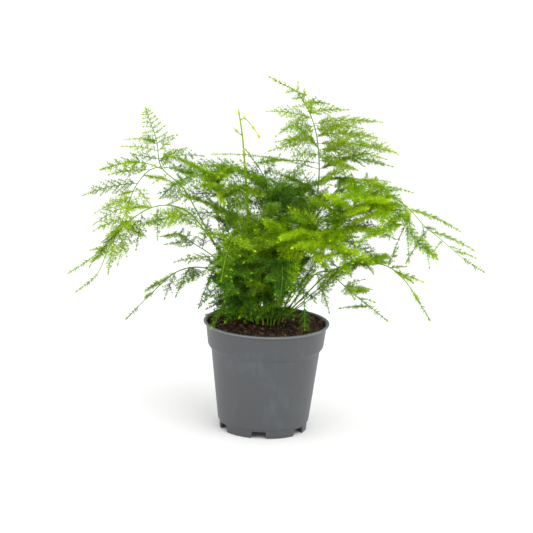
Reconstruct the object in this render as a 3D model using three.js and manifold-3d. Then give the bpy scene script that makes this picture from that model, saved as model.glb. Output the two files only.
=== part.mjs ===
// A lace-leaved asparagus fern growing in a round plastic nursery pot.
// Millimetres, +Z up. The origin is the middle of the pot's foot, and -Y is the front.

import * as THREE from "three";
import { mergeVertices } from "three/addons/utils/BufferGeometryUtils.js";
import Module from "manifold-3d";

const wasm = await Module();
wasm.setup();

// ---------------------------------------------------------------- driving dimensions

const POT = {
  height: 104,
  rimRadius: 60, // outer edge of the lip
  lip: 2.0, // depth of the lip's edge
  wall: 1.2,
  collarTopRadius: 57.3,
  collarFootRadius: 54.9,
  collarDepth: 22.3, // from the top of the lip to the start of the chamfer
  chamferDepth: 26.6, // and to its end
  bodyTopRadius: 51.6,
  bodyFootRadius: 43.2,
  footRadius: 41.3,
  footHeight: 7.6,
  floorHeight: 7.2, // underside of the floor, inside the foot ring
  sides: 32,
};
const NOTCH = { count: 6, firstDeg: -95, height: 6.8, topWidth: 12.6, footWidth: 16.2 };
const DRAIN = { radius: 4, fromAxis: 33.5, sides: 6 };

const SOIL = {
  gap: 0.3, // to the wall and the floor
  edgeDepth: 5.0, // below the lip, at the wall
  crownDepth: 2.8, // below the lip, round the stems
  relief: 0.8,
  rings: 4,
  sides: 24,
};
const ROOT = { height: 85, spread: 0.9, straight: 22 }; // how a stem stands in the soil
const HOLE_GAP = 0.4;

const STEM = { rootRadius: 0.95, tipRadius: 0.45, sides: 4, step: 6, bendDeg: 9 };
const ARM = { rootRadius: 0.75, tipRadius: 0.42 };
const SPRAY = { rootRadius: 0.62, tipRadius: 0.4, step: 6, shortest: 9, arch: 0.09 };
const BUD = { length: 3.4, swell: 1.9 };
const TWIG = { every: 13.5, base: 1.1, share: 0.45, longest: 20, shortest: 5, openingDeg: 50 };
const NEEDLE = { length: 5.8, openingDeg: 48 };

// Clear distances between the middles of neighbouring pieces.
const CLEAR = { sample: 2, spray: 2.5, twig: 1.7 };
const SWINGS_DEG = [0, 14, -14, 28, -28, 42, -42];
const POT_SPACE = { radius: 63, top: 105.5 };

const YOUNG = 0x8cb92b;
const FRESH = 0x6ea524;
const LEAFY = 0x4e8a2a;
const SHADED = 0x3c6b38;

// ---------------------------------------------------------------- the fronds
//
// Each has a main stem and may have arms, which fork off it. For either,
//   route: the points it passes through; a stem's first is at the soil, an arm's on its stem
//   bare: the share of the route that carries no sprays
//   sprays, reach: how many side sprays follow, and the length of the longest
//   acrossDeg: the direction in which they spread, seen from above
//   rollDeg: how far they stray from that plane
//   droop: how fast they bend down, per mm
//   aimed: sprays that go from a share of the route to a set tip, [share, tip]
//   buds: the shares of the route at which a bud sits

const FRONDS = [
  {
    name: "frond_left_tall",
    colour: FRESH,
    seed: 11,
    axes: [
      {
        route: [[-9, 2, 104], [-30, 6, 139], [-53, 10, 178], [-69, 12, 205], [-84, 13, 229], [-104, 12, 247],
          [-109, 10, 273], [-120, 8, 303]],
        bare: 0.72, sprays: 9, reach: 30, acrossDeg: 10, rollDeg: 15, droop: 0.001,
        aimed: [[0.79, [-81, 2, 268]], [0.8, [-66, 22, 257]], [0.83, [-140, 4, 267]],
          [0.86, [-94, 14, 277]]],
      },
      {
        route: [[-104, 12, 247], [-114, 14, 244], [-127, 17, 228], [-133, 20, 214], [-138, 22, 197], [-151, 26, 172],
          [-170, 30, 152], [-191, 34, 136]],
        bare: 0.5, sprays: 5, reach: 30, acrossDeg: 60, rollDeg: 60, droop: 0.004,
        aimed: [[0.08, [-152, 2, 240]], [0.2, [-176, 10, 218]], [0.23, [-114, 30, 206]],
          [0.31, [-165, 16, 200]], [0.37, [-167, 28, 186]], [0.42, [-124, 34, 179]],
          [0.46, [-166, 14, 183]], [0.55, [-136, 36, 154]]],
      },
      {
        route: [[-97, 13, 242], [-114, 8, 250], [-127, 2, 253], [-144, -4, 251], [-159, -10, 247]],
        bare: 0.15, sprays: 5, reach: 26, acrossDeg: 90, rollDeg: 30, droop: 0.006,
      },
    ],
  },
  {
    name: "frond_left_low",
    colour: FRESH,
    seed: 23,
    axes: [
      {
        route: [[-13, -3, 104], [-36, -14, 158], [-57, -25, 191], [-79, -36, 217], [-104, -46, 222], [-130, -54, 208],
          [-146, -58, 186], [-158, -60, 158], [-176, -60, 142]],
        bare: 0.5, sprays: 5, reach: 46, acrossDeg: 90, rollDeg: 40, droop: 0.005,
        aimed: [[0.43, [-87, -34, 210]], [0.5, [-119, -56, 205]], [0.62, [-103, -52, 192]],
          [0.67, [-122, -62, 184]], [0.71, [-139, -50, 167]], [0.74, [-159, -70, 175]],
          [0.79, [-148, -48, 157]], [0.83, [-163, -76, 185]]],
      },
    ],
  },
  {
    name: "shoot_bare",
    colour: YOUNG,
    seed: 5,
    axes: [
      {
        route: [[-7, 7, 104], [-19, 7, 190], [-24, 6, 239], [-26, 5, 259], [-29, 3, 284], [-33, 2, 306]],
        bare: 1, sprays: 0, buds: [0.76, 0.82, 0.985],
      },
      { route: [[-31, 2.6, 296], [-28, 1, 299], [-20, -3, 292], [-13, -8, 283]], bare: 1, sprays: 0, buds: [0.25, 0.6] },
      { route: [[-28.7, 3.2, 281], [-33, 4, 284], [-36, 6, 287]], bare: 1, sprays: 0, buds: [0.75] },
    ],
  },
  {
    name: "frond_right_tall",
    colour: FRESH,
    seed: 37,
    axes: [
      {
        route: [[5, 6, 104], [22, 10, 152], [36, 14, 196], [44, 17, 229], [43, 15, 269], [36, 12, 298], [21, 9, 323],
          [6, 8, 331], [-5, 6, 337]],
        bare: 0.5, sprays: 4, reach: 60, acrossDeg: 90, rollDeg: 40, droop: 0.004,
        aimed: [[0.61, [-56, 6, 262]], [0.63, [-15, -14, 259]], [0.64, [79, -24, 258]],
          [0.65, [112, -2, 258]], [0.68, [107, 16, 261]], [0.7, [113, -14, 274]], [0.71, [3, 6, 276]],
          [0.73, [96, 4, 284]], [0.75, [83, 26, 288]], [0.76, [8, -12, 291]], [0.77, [101, 0, 299]],
          [0.79, [-6, -2, 306]], [0.81, [69, 10, 308]], [0.85, [51, 22, 311]], [0.89, [29, 16, 320]]],
      },
      {
        route: [[44, 17, 238], [60, 10, 242], [78, 0, 242], [94, -12, 240], [109, -24, 236], [129, -40, 225],
          [142, -52, 213], [155, -62, 205], [177, -78, 190], [195, -90, 181]],
        bare: 0.3, sprays: 5, reach: 34, acrossDeg: 100, rollDeg: 40, droop: 0.005,
        aimed: [[0.19, [111, 4, 242]], [0.29, [132, -8, 235]], [0.52, [177, -24, 203]],
          [0.54, [115, -56, 189]], [0.66, [126, -76, 184]], [0.68, [187, -54, 193]],
          [0.75, [143, -84, 183]], [0.83, [189, -70, 189]]],
      },
    ],
  },
  {
    name: "frond_right_front",
    colour: YOUNG,
    seed: 41,
    axes: [
      {
        route: [[7, -9, 104], [21, -20, 145], [40, -36, 180], [62, -52, 214], [80, -62, 233], [98, -68, 237],
          [114, -72, 230], [126, -75, 213], [153, -78, 189]],
        bare: 0.55, sprays: 5, reach: 46, acrossDeg: 60, rollDeg: 60, droop: 0.005,
        aimed: [[0.39, [-7, -60, 216]], [0.47, [23, -66, 227]], [0.48, [108, -44, 176]],
          [0.55, [115, -46, 199]], [0.59, [55, -92, 206]], [0.63, [115, -40, 213]], [0.7, [130, -92, 222]]],
      },
    ],
  },
  {
    name: "frond_right_low",
    colour: LEAFY,
    seed: 53,
    axes: [
      {
        route: [[14, -1, 104], [31, -6, 127], [62, -18, 161], [88, -28, 171], [111, -32, 169], [128, -35, 156],
          [140, -37, 139], [152, -39, 121]],
        bare: 0.42, sprays: 5, reach: 46, acrossDeg: 60, rollDeg: 50, droop: 0.007,
        aimed: [[0.59, [97, -50, 166]], [0.7, [120, -20, 184]], [0.76, [143, -46, 159]]],
      },
    ],
  },
  {
    name: "frond_front_bright",
    colour: YOUNG,
    seed: 61,
    axes: [
      {
        route: [[1, -10, 104], [1, -24, 142], [2, -40, 175], [4, -54, 195], [28, -64, 204], [46, -72, 201],
          [65, -78, 192], [74, -82, 174]],
        bare: 0.5, sprays: 5, reach: 50, acrossDeg: 95, rollDeg: 80, droop: 0.006,
        aimed: [[0.43, [-27, -58, 199]], [0.52, [-22, -72, 178]], [0.62, [-6, -84, 221]],
          [0.64, [22, -86, 158]], [0.7, [47, -92, 185]], [0.8, [78, -60, 207]], [0.9, [95, -66, 181]]],
      },
    ],
  },
  {
    name: "frond_right_back_low",
    colour: SHADED,
    seed: 71,
    axes: [
      {
        route: [[15, 6, 104], [31, 24, 127], [46, 42, 142], [58, 58, 140], [75, 72, 123], [96, 84, 104], [118, 90, 86]],
        bare: 0.36, sprays: 5, reach: 46, acrossDeg: 120, rollDeg: 45, droop: 0.007,
        aimed: [[0.43, [60, 40, 105]], [0.68, [93, 66, 132]], [0.74, [98, 92, 116]], [0.8, [104, 74, 108]]],
      },
    ],
  },
  {
    name: "frond_left_back_low",
    colour: SHADED,
    seed: 83,
    axes: [
      {
        route: [[-16, 6, 104], [-31, 24, 127], [-51, 42, 140], [-69, 56, 141], [-90, 68, 132], [-113, 78, 108],
          [-137, 86, 80]],
        bare: 0.36, sprays: 5, reach: 46, acrossDeg: 60, rollDeg: 45, droop: 0.007,
        aimed: [[0.56, [-88, 52, 113]], [0.64, [-100, 76, 104]], [0.71, [-118, 62, 115]]],
      },
    ],
  },
  {
    name: "frond_left_back",
    colour: SHADED,
    seed: 97,
    axes: [
      {
        route: [[-12, 11, 104], [-27, 32, 131], [-52, 56, 151], [-73, 78, 159], [-89, 96, 164], [-102, 110, 158]],
        bare: 0.35, sprays: 7, reach: 52, acrossDeg: 30, rollDeg: 45, droop: 0.006,
      },
    ],
  },
  {
    name: "frond_centre_back",
    colour: LEAFY,
    seed: 101,
    axes: [
      {
        route: [[-2, 11, 104], [-1, 20, 169], [-2, 28, 211], [-8, 30, 239], [-15, 28, 250], [-25, 24, 264]],
        bare: 0.45, sprays: 5, reach: 70, acrossDeg: 60, rollDeg: 50, droop: 0.004,
        aimed: [[0.71, [-55, 44, 214]], [0.73, [70, 14, 216]], [0.78, [-98, 14, 230]],
          [0.81, [56, 34, 231]], [0.84, [-101, 24, 244]], [0.91, [26, 10, 259]]],
      },
    ],
  },
  {
    name: "frond_centre_left",
    colour: LEAFY,
    seed: 113,
    axes: [
      {
        route: [[-8, -7, 104], [-27, -14, 156], [-39, -20, 197], [-45, -27, 230], [-49, -36, 246], [-46, -50, 257],
          [-40, -66, 255]],
        bare: 0.42, sprays: 5, reach: 56, acrossDeg: 60, rollDeg: 60, droop: 0.006,
        aimed: [[0.57, [-90, -36, 189]], [0.65, [-121, -20, 197]], [0.74, [-102, -36, 227]],
          [0.77, [-8, -44, 234]], [0.8, [-68, -50, 258]]],
      },
    ],
  },
  {
    name: "frond_low_left",
    colour: LEAFY,
    seed: 127,
    axes: [
      {
        route: [[-9, -11, 104], [-21, -32, 142], [-34, -48, 166], [-45, -60, 174], [-52, -68, 164], [-57, -74, 141]],
        bare: 0.4, sprays: 5, reach: 46, acrossDeg: 130, rollDeg: 60, droop: 0.006,
        aimed: [[0.53, [-51, -54, 140]], [0.65, [-53, -56, 194]], [0.74, [-16, -82, 164]],
          [0.84, [-63, -62, 131]]],
      },
    ],
  },
  {
    name: "frond_low_front",
    colour: LEAFY,
    seed: 131,
    axes: [
      {
        route: [[4, -14, 104], [7, -36, 146], [9, -58, 172], [12, -80, 180], [13, -98, 172], [12, -112, 158]],
        bare: 0.4, sprays: 7, reach: 52, acrossDeg: 5, rollDeg: 50, droop: 0.005,
      },
    ],
  },
  {
    name: "frond_hanging",
    colour: LEAFY,
    seed: 139,
    axes: [
      {
        route: [[11, -6, 104], [22, -16, 135], [28, -26, 149], [33, -31, 143], [35, -34, 127], [36, -37, 107]],
        bare: 0.6, sprays: 5, reach: 18, acrossDeg: 20, rollDeg: 60, droop: 0.01,
      },
    ],
  },
  {
    name: "frond_back",
    colour: LEAFY,
    seed: 149,
    axes: [
      {
        route: [[3, 14, 104], [8, 44, 160], [10, 72, 204], [8, 98, 218], [4, 118, 206], [0, 131, 185]],
        bare: 0.42, sprays: 7, reach: 62, acrossDeg: 5, rollDeg: 40, droop: 0.005,
      },
    ],
  },
  {
    name: "frond_back_left",
    colour: LEAFY,
    seed: 157,
    axes: [
      {
        route: [[-7, 15, 104], [-24, 46, 160], [-42, 74, 204], [-64, 94, 222], [-88, 106, 216], [-108, 114, 196]],
        bare: 0.42, sprays: 7, reach: 58, acrossDeg: 45, rollDeg: 40, droop: 0.005,
      },
    ],
  },
  {
    name: "frond_back_right",
    colour: FRESH,
    seed: 163,
    axes: [
      {
        route: [[10, 11, 104], [30, 40, 162], [52, 62, 206], [76, 82, 226], [102, 98, 222], [124, 108, 200]],
        bare: 0.42, sprays: 7, reach: 60, acrossDeg: 130, rollDeg: 40, droop: 0.005,
      },
    ],
  },
  {
    name: "frond_front",
    colour: FRESH,
    seed: 173,
    axes: [
      {
        route: [[-3, -15, 104], [-13, -36, 156], [-24, -62, 192], [-32, -88, 204], [-38, -112, 194], [-42, -130, 174]],
        bare: 0.42, sprays: 6, reach: 56, acrossDeg: 10, rollDeg: 45, droop: 0.005,
      },
    ],
  },
];

// ---------------------------------------------------------------- small helpers

const UP = new THREE.Vector3(0, 0, 1);
const rad = THREE.MathUtils.degToRad;
const lerp = THREE.MathUtils.lerp;
const vector = (p) => new THREE.Vector3(...p);

/** Repeatable draws between 0 and 1. */
function drawsFrom(seed) {
  let state = (seed * 7919) % 2147483647;
  const draw = () => (state = (state * 16807) % 2147483647) / 2147483647;
  draw();
  draw();
  return draw;
}

/** A closed geometry as a manifold solid. */
function solidFrom(geometry) {
  const bare = geometry.clone();
  bare.deleteAttribute("normal");
  bare.deleteAttribute("uv");
  const merged = mergeVertices(bare, 1e-4);
  return new wasm.Manifold(
    new wasm.Mesh({
      numProp: 3,
      vertProperties: merged.attributes.position.array,
      triVerts: new Uint32Array(merged.index.array),
    }),
  );
}

/** The named mesh of a solid. */
function meshOf(name, solid, material) {
  const { vertProperties, triVerts } = solid.getMesh();
  const geometry = new THREE.BufferGeometry();
  geometry.setAttribute("position", new THREE.BufferAttribute(vertProperties, 3));
  geometry.setIndex(new THREE.BufferAttribute(triVerts, 1));
  const mesh = new THREE.Mesh(geometry, material);
  mesh.name = name;
  return mesh;
}

/** A full turn of a profile of [radius, height] points round +Z. */
function turned(profile, sides) {
  const geometry = new THREE.LatheGeometry(profile.map(([r, z]) => new THREE.Vector2(r, z)), sides);
  return geometry.rotateX(Math.PI / 2);
}

// ---------------------------------------------------------------- pot and soil

/** The inner face of the wall, from the floor up to the lip, as [radius, height] points, drawn in by a gap. */
function innerWall(gap) {
  const inset = POT.wall + gap;
  return [
    [POT.footRadius - gap, POT.floorHeight + inset],
    [POT.bodyFootRadius - inset, POT.footHeight + 2.4],
    [POT.bodyTopRadius - inset, POT.height - POT.chamferDepth + 0.5],
    [POT.collarFootRadius - inset, POT.height - POT.collarDepth + 0.5],
    [POT.collarTopRadius - inset, POT.height - POT.lip],
  ];
}

function makePot() {
  const { height, lip } = POT;
  const profile = [
    [0, POT.floorHeight],
    [POT.footRadius - 1.8, POT.floorHeight],
    [POT.footRadius - 1.4, 0],
    [POT.footRadius, 0],
    [POT.footRadius + 0.6, POT.footHeight],
    [POT.bodyFootRadius, POT.footHeight + 1.4],
    [POT.bodyTopRadius, height - POT.chamferDepth],
    [POT.collarFootRadius, height - POT.collarDepth],
    [POT.collarTopRadius, height - lip],
    [POT.rimRadius, height - lip],
    [POT.rimRadius, height - 0.6],
    [POT.rimRadius - 0.6, height],
    [POT.rimRadius - 2.8, height],
    ...innerWall(0).reverse(),
    [0, POT.floorHeight + POT.wall],
  ];
  const notch = new THREE.Shape([
    new THREE.Vector2(-NOTCH.footWidth / 2, -1),
    new THREE.Vector2(NOTCH.footWidth / 2, -1),
    new THREE.Vector2(NOTCH.topWidth / 2, NOTCH.height),
    new THREE.Vector2(-NOTCH.topWidth / 2, NOTCH.height),
  ]);
  const cutDepth = 12;
  let pot = solidFrom(turned(profile, POT.sides));
  for (let i = 0; i < NOTCH.count; i++) {
    const turn = rad(NOTCH.firstDeg + (360 / NOTCH.count) * i);
    const cut = new THREE.ExtrudeGeometry(notch, { depth: cutDepth, bevelEnabled: false });
    cut.rotateX(Math.PI / 2).translate(0, cutDepth / 2, 0).rotateZ(turn + Math.PI / 2);
    cut.translate(Math.cos(turn) * POT.footRadius, Math.sin(turn) * POT.footRadius, 0);
    const drain = new THREE.CylinderGeometry(DRAIN.radius, DRAIN.radius, 6, DRAIN.sides).rotateX(Math.PI / 2);
    drain.translate(Math.cos(turn) * DRAIN.fromAxis, Math.sin(turn) * DRAIN.fromAxis, POT.floorHeight);
    pot = pot.subtract(solidFrom(cut)).subtract(solidFrom(drain));
  }
  return pot;
}

/** The height of the crumbs of soil above its even surface. */
const crumbs = (x, y) => SOIL.relief * Math.sin(1.7 * x + 0.6 * y) * Math.sin(1.1 * y - 0.9 * x);

/** The potting soil, with a hole for each stem. */
function makeSoil(holes) {
  const wall = innerWall(SOIL.gap);
  const edge = POT.height - SOIL.edgeDepth;
  const [collarFoot, collarTop] = wall.slice(3);
  const edgeRadius = lerp(collarFoot[0], collarTop[0], (edge - collarFoot[1]) / (collarTop[1] - collarFoot[1]));
  const profile = [[0, wall[0][1]], ...wall.slice(0, 4), [edgeRadius, edge]];
  for (let ring = SOIL.rings; ring >= 0; ring--) {
    const share = ring / (SOIL.rings + 1);
    profile.push([edgeRadius * share, edge + (SOIL.edgeDepth - SOIL.crownDepth) * (1 - share ** 2)]);
  }
  const geometry = turned(profile, SOIL.sides);
  const { position } = geometry.attributes;
  for (let i = 0; i < position.count; i++) {
    const z = position.getZ(i);
    if (z > edge + 0.01) position.setZ(i, z + crumbs(position.getX(i), position.getY(i)));
  }
  return holes.reduce((soil, hole) => soil.subtract(hole), solidFrom(geometry));
}

// ---------------------------------------------------------------- how a frond grows

/** A smooth line through a route, in equal steps. */
function smoothLine(route, step) {
  const curve = new THREE.CatmullRomCurve3(route.map(vector), false, "centripetal");
  return curve.getSpacedPoints(Math.max(3, Math.round(curve.getLength() / step)));
}

const lengthOf = (line) => line.slice(1).reduce((sum, p, i) => sum + p.distanceTo(line[i]), 0);

/** The point and the direction at a share of the way along a line of equal steps. */
function along(line, share) {
  const place = Math.min(share * (line.length - 1), line.length - 1.0001);
  const k = Math.floor(place);
  return {
    point: line[k].clone().lerp(line[k + 1], place - k),
    way: line[k + 1].clone().sub(line[k]).normalize(),
  };
}

/** Points along a line, close enough to tell how near it comes to another. */
function samplesOf(line) {
  const samples = [];
  for (let i = 1; i < line.length; i++) {
    const parts = Math.max(1, Math.ceil(line[i].distanceTo(line[i - 1]) / CLEAR.sample));
    for (let k = 0; k < parts; k++) samples.push(line[i - 1].clone().lerp(line[i], k / parts));
  }
  samples.push(line[line.length - 1]);
  return samples;
}

/** The space that is taken, as points sorted into small cells, each with its owner's name. */
class Crowd {
  cell = 4;
  cells = new Map();

  place(point) {
    return point.toArray().map((c) => Math.floor(c / this.cell));
  }

  add(points, owner) {
    for (const point of points) {
      const key = this.place(point).join();
      if (!this.cells.has(key)) this.cells.set(key, []);
      this.cells.get(key).push({ point, owner });
    }
  }

  /** Whether anything whose owner's name doesn't start with mine lies nearer than the gap. */
  isNear(point, gap, mine) {
    const [x, y, z] = this.place(point);
    for (let i = x - 1; i <= x + 1; i++)
      for (let j = y - 1; j <= y + 1; j++)
        for (let k = z - 1; k <= z + 1; k++)
          for (const other of this.cells.get(`${i},${j},${k}`) ?? [])
            if (!other.owner.startsWith(mine) && other.point.distanceTo(point) < gap) return true;
    return false;
  }
}

const inPot = (p) => p.z < POT_SPACE.top && Math.hypot(p.x, p.y) < POT_SPACE.radius;

/** How long side growth is, from 0 to 1, at a share of the way along what carries it. */
const outline = (x) => Math.min(1, 0.5 + 1.7 * x) * (1 - x) ** 0.75;

/** A spray's line: it starts along heading and bends down as it grows. */
function sprayLine(root, heading, length, droop) {
  const steps = Math.max(2, Math.round(length / SPRAY.step));
  const step = length / steps;
  const line = [root];
  const way = heading.clone();
  for (let k = 0; k < steps; k++) {
    line.push(line[k].clone().addScaledVector(way, step));
    way.addScaledVector(UP, -droop * step).normalize();
  }
  return line;
}

/** A spray's line to a set tip, in a low arch. */
function archTo(root, tip) {
  const length = root.distanceTo(tip);
  const top = root.clone().lerp(tip, 0.5).addScaledVector(UP, SPRAY.arch * length);
  return new THREE.QuadraticBezierCurve3(root, top, tip).getSpacedPoints(Math.max(2, Math.round(length / SPRAY.step)));
}

/** The share of a line, from 0 to 1, that lies clear of the pot and of other fronds. */
function clearShare(line, frond, crowd) {
  const samples = samplesOf(line);
  const hit = samples.findIndex((p) => inPot(p) || crowd.isNear(p, CLEAR.spray, `${frond.name}/`));
  return hit < 0 ? 1 : hit / samples.length;
}

/** Adds a spray to an axis, cut back to its clear share, unless too little of it is left. */
function addSpray(axis, frond, share, line, over, clear, crowd) {
  const kept = clear === 1 ? line : line.slice(0, Math.floor(clear * line.length));
  if (kept.length < 3) return;
  const owner = `${frond.name}/${frond.axes.indexOf(axis)}/${axis.grown.length}/`;
  crowd.add(samplesOf(kept), owner);
  axis.grown.push({ line: kept, share, owner, over: over.z < 0 ? over.negate() : over });
}

/** The sprays of an axis that go to set tips. */
function growAimed(axis, frond, crowd) {
  for (const [share, tip] of axis.aimed ?? []) {
    const { point, way } = along(axis.line, share);
    const line = archTo(point, vector(tip));
    const over = new THREE.Vector3().crossVectors(way, line[1].clone().sub(point)).normalize();
    addSpray(axis, frond, share, line, over, clearShare(line, frond, crowd), crowd);
  }
}

/** The other sprays of an axis: each swings, or stops short, to stay clear of other fronds. */
function growSprays(axis, frond, draw, crowd) {
  const across = new THREE.Vector3(Math.cos(rad(axis.acrossDeg)), Math.sin(rad(axis.acrossDeg)), 0);
  for (let i = 0; i < axis.sprays; i++) {
    const x = (i + 0.3 + 0.4 * draw()) / axis.sprays;
    const roll = rad(axis.rollDeg) * (2 * draw() - 1);
    const opening = rad(66 - 22 * x + 16 * (draw() - 0.5));
    const length = Math.max(SPRAY.shortest, axis.reach * outline(x) * (0.8 + 0.4 * draw()));
    const droop = axis.droop * (0.6 + 0.8 * draw());
    const share = axis.bare + (1 - axis.bare) * x;
    const { point, way } = along(axis.line, share);
    const side = across.clone().addScaledVector(way, -across.dot(way)).normalize();
    side.multiplyScalar(i % 2 ? 1 : -1).applyAxisAngle(way, roll);
    let best = { clear: -1 };
    for (const swing of SWINGS_DEG) {
      const out = side.clone().applyAxisAngle(way, rad(swing));
      const heading = way.clone().multiplyScalar(Math.cos(opening)).addScaledVector(out, Math.sin(opening));
      const line = sprayLine(point, heading, length, droop);
      const clear = clearShare(line, frond, crowd);
      if (clear > best.clear) best = { clear, line, over: new THREE.Vector3().crossVectors(way, out) };
      if (clear === 1) break;
    }
    addSpray(axis, frond, share, best.line, best.over, best.clear, crowd);
  }
}

// ---------------------------------------------------------------- meshes of stems and sprays

/** The stations at which a plain stalk needs a ring: its ends, and where it has turned enough. */
function bendStations(line, start) {
  const step = lengthOf(line) / (line.length - 1);
  const stations = [0, start];
  let last = along(line, start / step / (line.length - 1)).way;
  for (let k = Math.ceil(start / step) + 1; k < line.length - 1; k++) {
    const { way } = along(line, k / (line.length - 1));
    if (way.angleTo(last) < rad(STEM.bendDeg)) continue;
    stations.push(k * step);
    last = way;
  }
  return stations;
}

/**
 * A tapering stalk along a line, raised into a closed mesh ring by ring.
 * stations: the distances of its plain rings. swells: distances at which a bud thickens it.
 * knots: short collars, each with a distance and spikes {side, way, length}; a spike is one face
 * of the collar drawn out to a point. upturned stalks have a flat face on top, others have an edge.
 */
function stalk({ line, over, sides, rootRadius, tipRadius, stations, knots = [], swells = [], upturned = false }) {
  const total = lengthOf(line);
  const half = TWIG.base / 2;
  const rings = [
    ...stations,
    ...knots.flatMap(({ at }) => [at - half, at + half]),
    ...swells.flatMap((at) => [at - BUD.length / 2, at, at + BUD.length / 2]),
  ];
  rings.sort((a, b) => a - b);
  const first = upturned ? -Math.PI / 2 : Math.PI / 2;
  const up = over.clone();
  const corners = rings.map((at) => {
    const { point, way } = along(line, at / total);
    up.addScaledVector(way, -up.dot(way)).normalize();
    const side = new THREE.Vector3().crossVectors(up, way);
    const radius = lerp(rootRadius, tipRadius, at / total) * (swells.includes(at) ? BUD.swell : 1);
    return Array.from({ length: sides }, (_, j) => {
      const turn = first + (2 * Math.PI * j) / sides;
      const corner = point.clone().addScaledVector(side, Math.cos(turn) * radius);
      return corner.addScaledVector(up, Math.sin(turn) * radius);
    });
  });
  const positions = [];
  const triangle = (...points) => points.forEach((p) => positions.push(p.x, p.y, p.z));
  const point = (quad, apex) => quad.forEach((corner, k) => triangle(corner, quad[(k + 1) % 4], apex));
  for (let j = 1; j < sides - 1; j++) triangle(corners[0][0], corners[0][j + 1], corners[0][j]);
  for (let i = 0; i < rings.length - 1; i++) {
    const middle = (rings[i] + rings[i + 1]) / 2;
    const knot = knots.find(({ at }) => Math.abs(at - middle) < 0.01);
    for (let j = 0; j < sides; j++) {
      const next = (j + 1) % sides;
      const quad = [corners[i][j], corners[i][next], corners[i + 1][next], corners[i + 1][j]];
      const spike = knot?.spikes.find((k) => k.side === j);
      if (spike) {
        const base = quad.reduce((sum, c) => sum.add(c), new THREE.Vector3()).multiplyScalar(0.25);
        point(quad, base.addScaledVector(spike.way, spike.length));
      } else {
        triangle(quad[0], quad[1], quad[2]);
        triangle(quad[0], quad[2], quad[3]);
      }
    }
  }
  const last = corners[corners.length - 1];
  for (let j = 0; j < sides; j++) triangle(last[j], last[(j + 1) % sides], line[line.length - 1]);
  const geometry = new THREE.BufferGeometry();
  geometry.setAttribute("position", new THREE.BufferAttribute(new Float32Array(positions), 3));
  return solidFrom(geometry);
}

/** A length at which a spike from a point is clear of all but its own spray, or 0. */
function clearLength(root, way, length, shortest, owner, crowd) {
  for (const share of [1, 0.7, 0.45]) {
    const tried = length * share;
    if (tried < shortest) return 0;
    const spike = samplesOf([root.clone().addScaledVector(way, 2), root.clone().addScaledVector(way, tried)]);
    if (spike.some((p) => inPot(p) || crowd.isNear(p, CLEAR.twig, owner))) continue;
    crowd.add(spike, owner);
    return tried;
  }
  return 0;
}

/** A side spray: a slim three-sided stalk whose collars each carry a twig on both sides and a needle. */
function makeSpray({ line, owner, over }, upturned, draw, crowd) {
  const total = lengthOf(line);
  const knots = [];
  for (let at = TWIG.every * 0.6; at < total - 4; at += TWIG.every) {
    const { point, way } = along(line, at / total);
    const up = over.clone().addScaledVector(way, -over.dot(way)).normalize();
    const side = new THREE.Vector3().crossVectors(up, way);
    const heading = (out, openingDeg) =>
      way.clone().multiplyScalar(Math.cos(rad(openingDeg))).addScaledVector(out, Math.sin(rad(openingDeg)));
    const twig = Math.max(7, Math.min(TWIG.longest, TWIG.share * total * outline(at / total)) * (0.85 + 0.3 * draw()));
    const lift = 0.2 * (draw() - 0.5);
    const outs = [
      { out: side, face: upturned ? 0 : 2, length: twig },
      { out: side.clone().negate(), face: upturned ? 2 : 0, length: twig },
      { out: up.clone().multiplyScalar(upturned ? 1 : -1), face: 1, length: NEEDLE.length },
    ];
    const spikes = outs.map(({ out, face, length }) => {
      const isNeedle = face === 1;
      const lifted = isNeedle ? out : out.clone().addScaledVector(up, lift).normalize();
      const spikeWay = heading(lifted, isNeedle ? NEEDLE.openingDeg : TWIG.openingDeg);
      const clear = clearLength(point, spikeWay, length, isNeedle ? 4 : TWIG.shortest, owner, crowd);
      return { side: face, way: spikeWay, length: clear };
    });
    knots.push({ at, spikes: spikes.filter(({ length }) => length > 0) });
  }
  const { rootRadius, tipRadius } = SPRAY;
  return stalk({ line, over, sides: 3, rootRadius, tipRadius, stations: [0], knots, upturned });
}

/** A frond's stem or arm. */
function makeAxis({ line, stations, buds = [], isStem }) {
  const total = lengthOf(line);
  return stalk({
    line,
    over: new THREE.Vector3(0, 1, 0),
    sides: STEM.sides,
    ...(isStem ? STEM : ARM),
    stations,
    swells: buds.map((share) => share * total),
  });
}

/** The middle of a stem's mesh, which is straight between its rings, at a share of the way along it. */
function middleOf({ line, stations }, share) {
  const total = lengthOf(line);
  const ends = [...stations, total];
  const k = ends.findIndex((at) => at > share * total);
  const [from, to] = [ends[k - 1], ends[k]];
  return along(line, from / total).point.lerp(along(line, to / total).point, (share * total - from) / (to - from));
}

/** The hole that a stem stands in: straight, as the stem is there, and open above the soil. */
function holeFor(line) {
  const foot = line[0];
  const head = along(line, ROOT.straight / lengthOf(line)).point;
  const way = head.clone().sub(foot).normalize();
  const radius = STEM.rootRadius + HOLE_GAP;
  return stalk({
    line: [foot.clone().addScaledVector(way, -HOLE_GAP), head.clone().addScaledVector(way, radius)],
    over: new THREE.Vector3(0, 1, 0),
    sides: STEM.sides,
    rootRadius: radius,
    tipRadius: radius,
    stations: [0, ROOT.straight],
  });
}

// ---------------------------------------------------------------- assembly

const plastic = new THREE.MeshStandardMaterial({ color: 0x53585b, roughness: 0.5, metalness: 0 });
const peat = new THREE.MeshStandardMaterial({ color: 0x33231a, roughness: 0.95, metalness: 0 });
const green = (colour) => new THREE.MeshStandardMaterial({ color: colour, roughness: 0.6, metalness: 0 });

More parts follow.
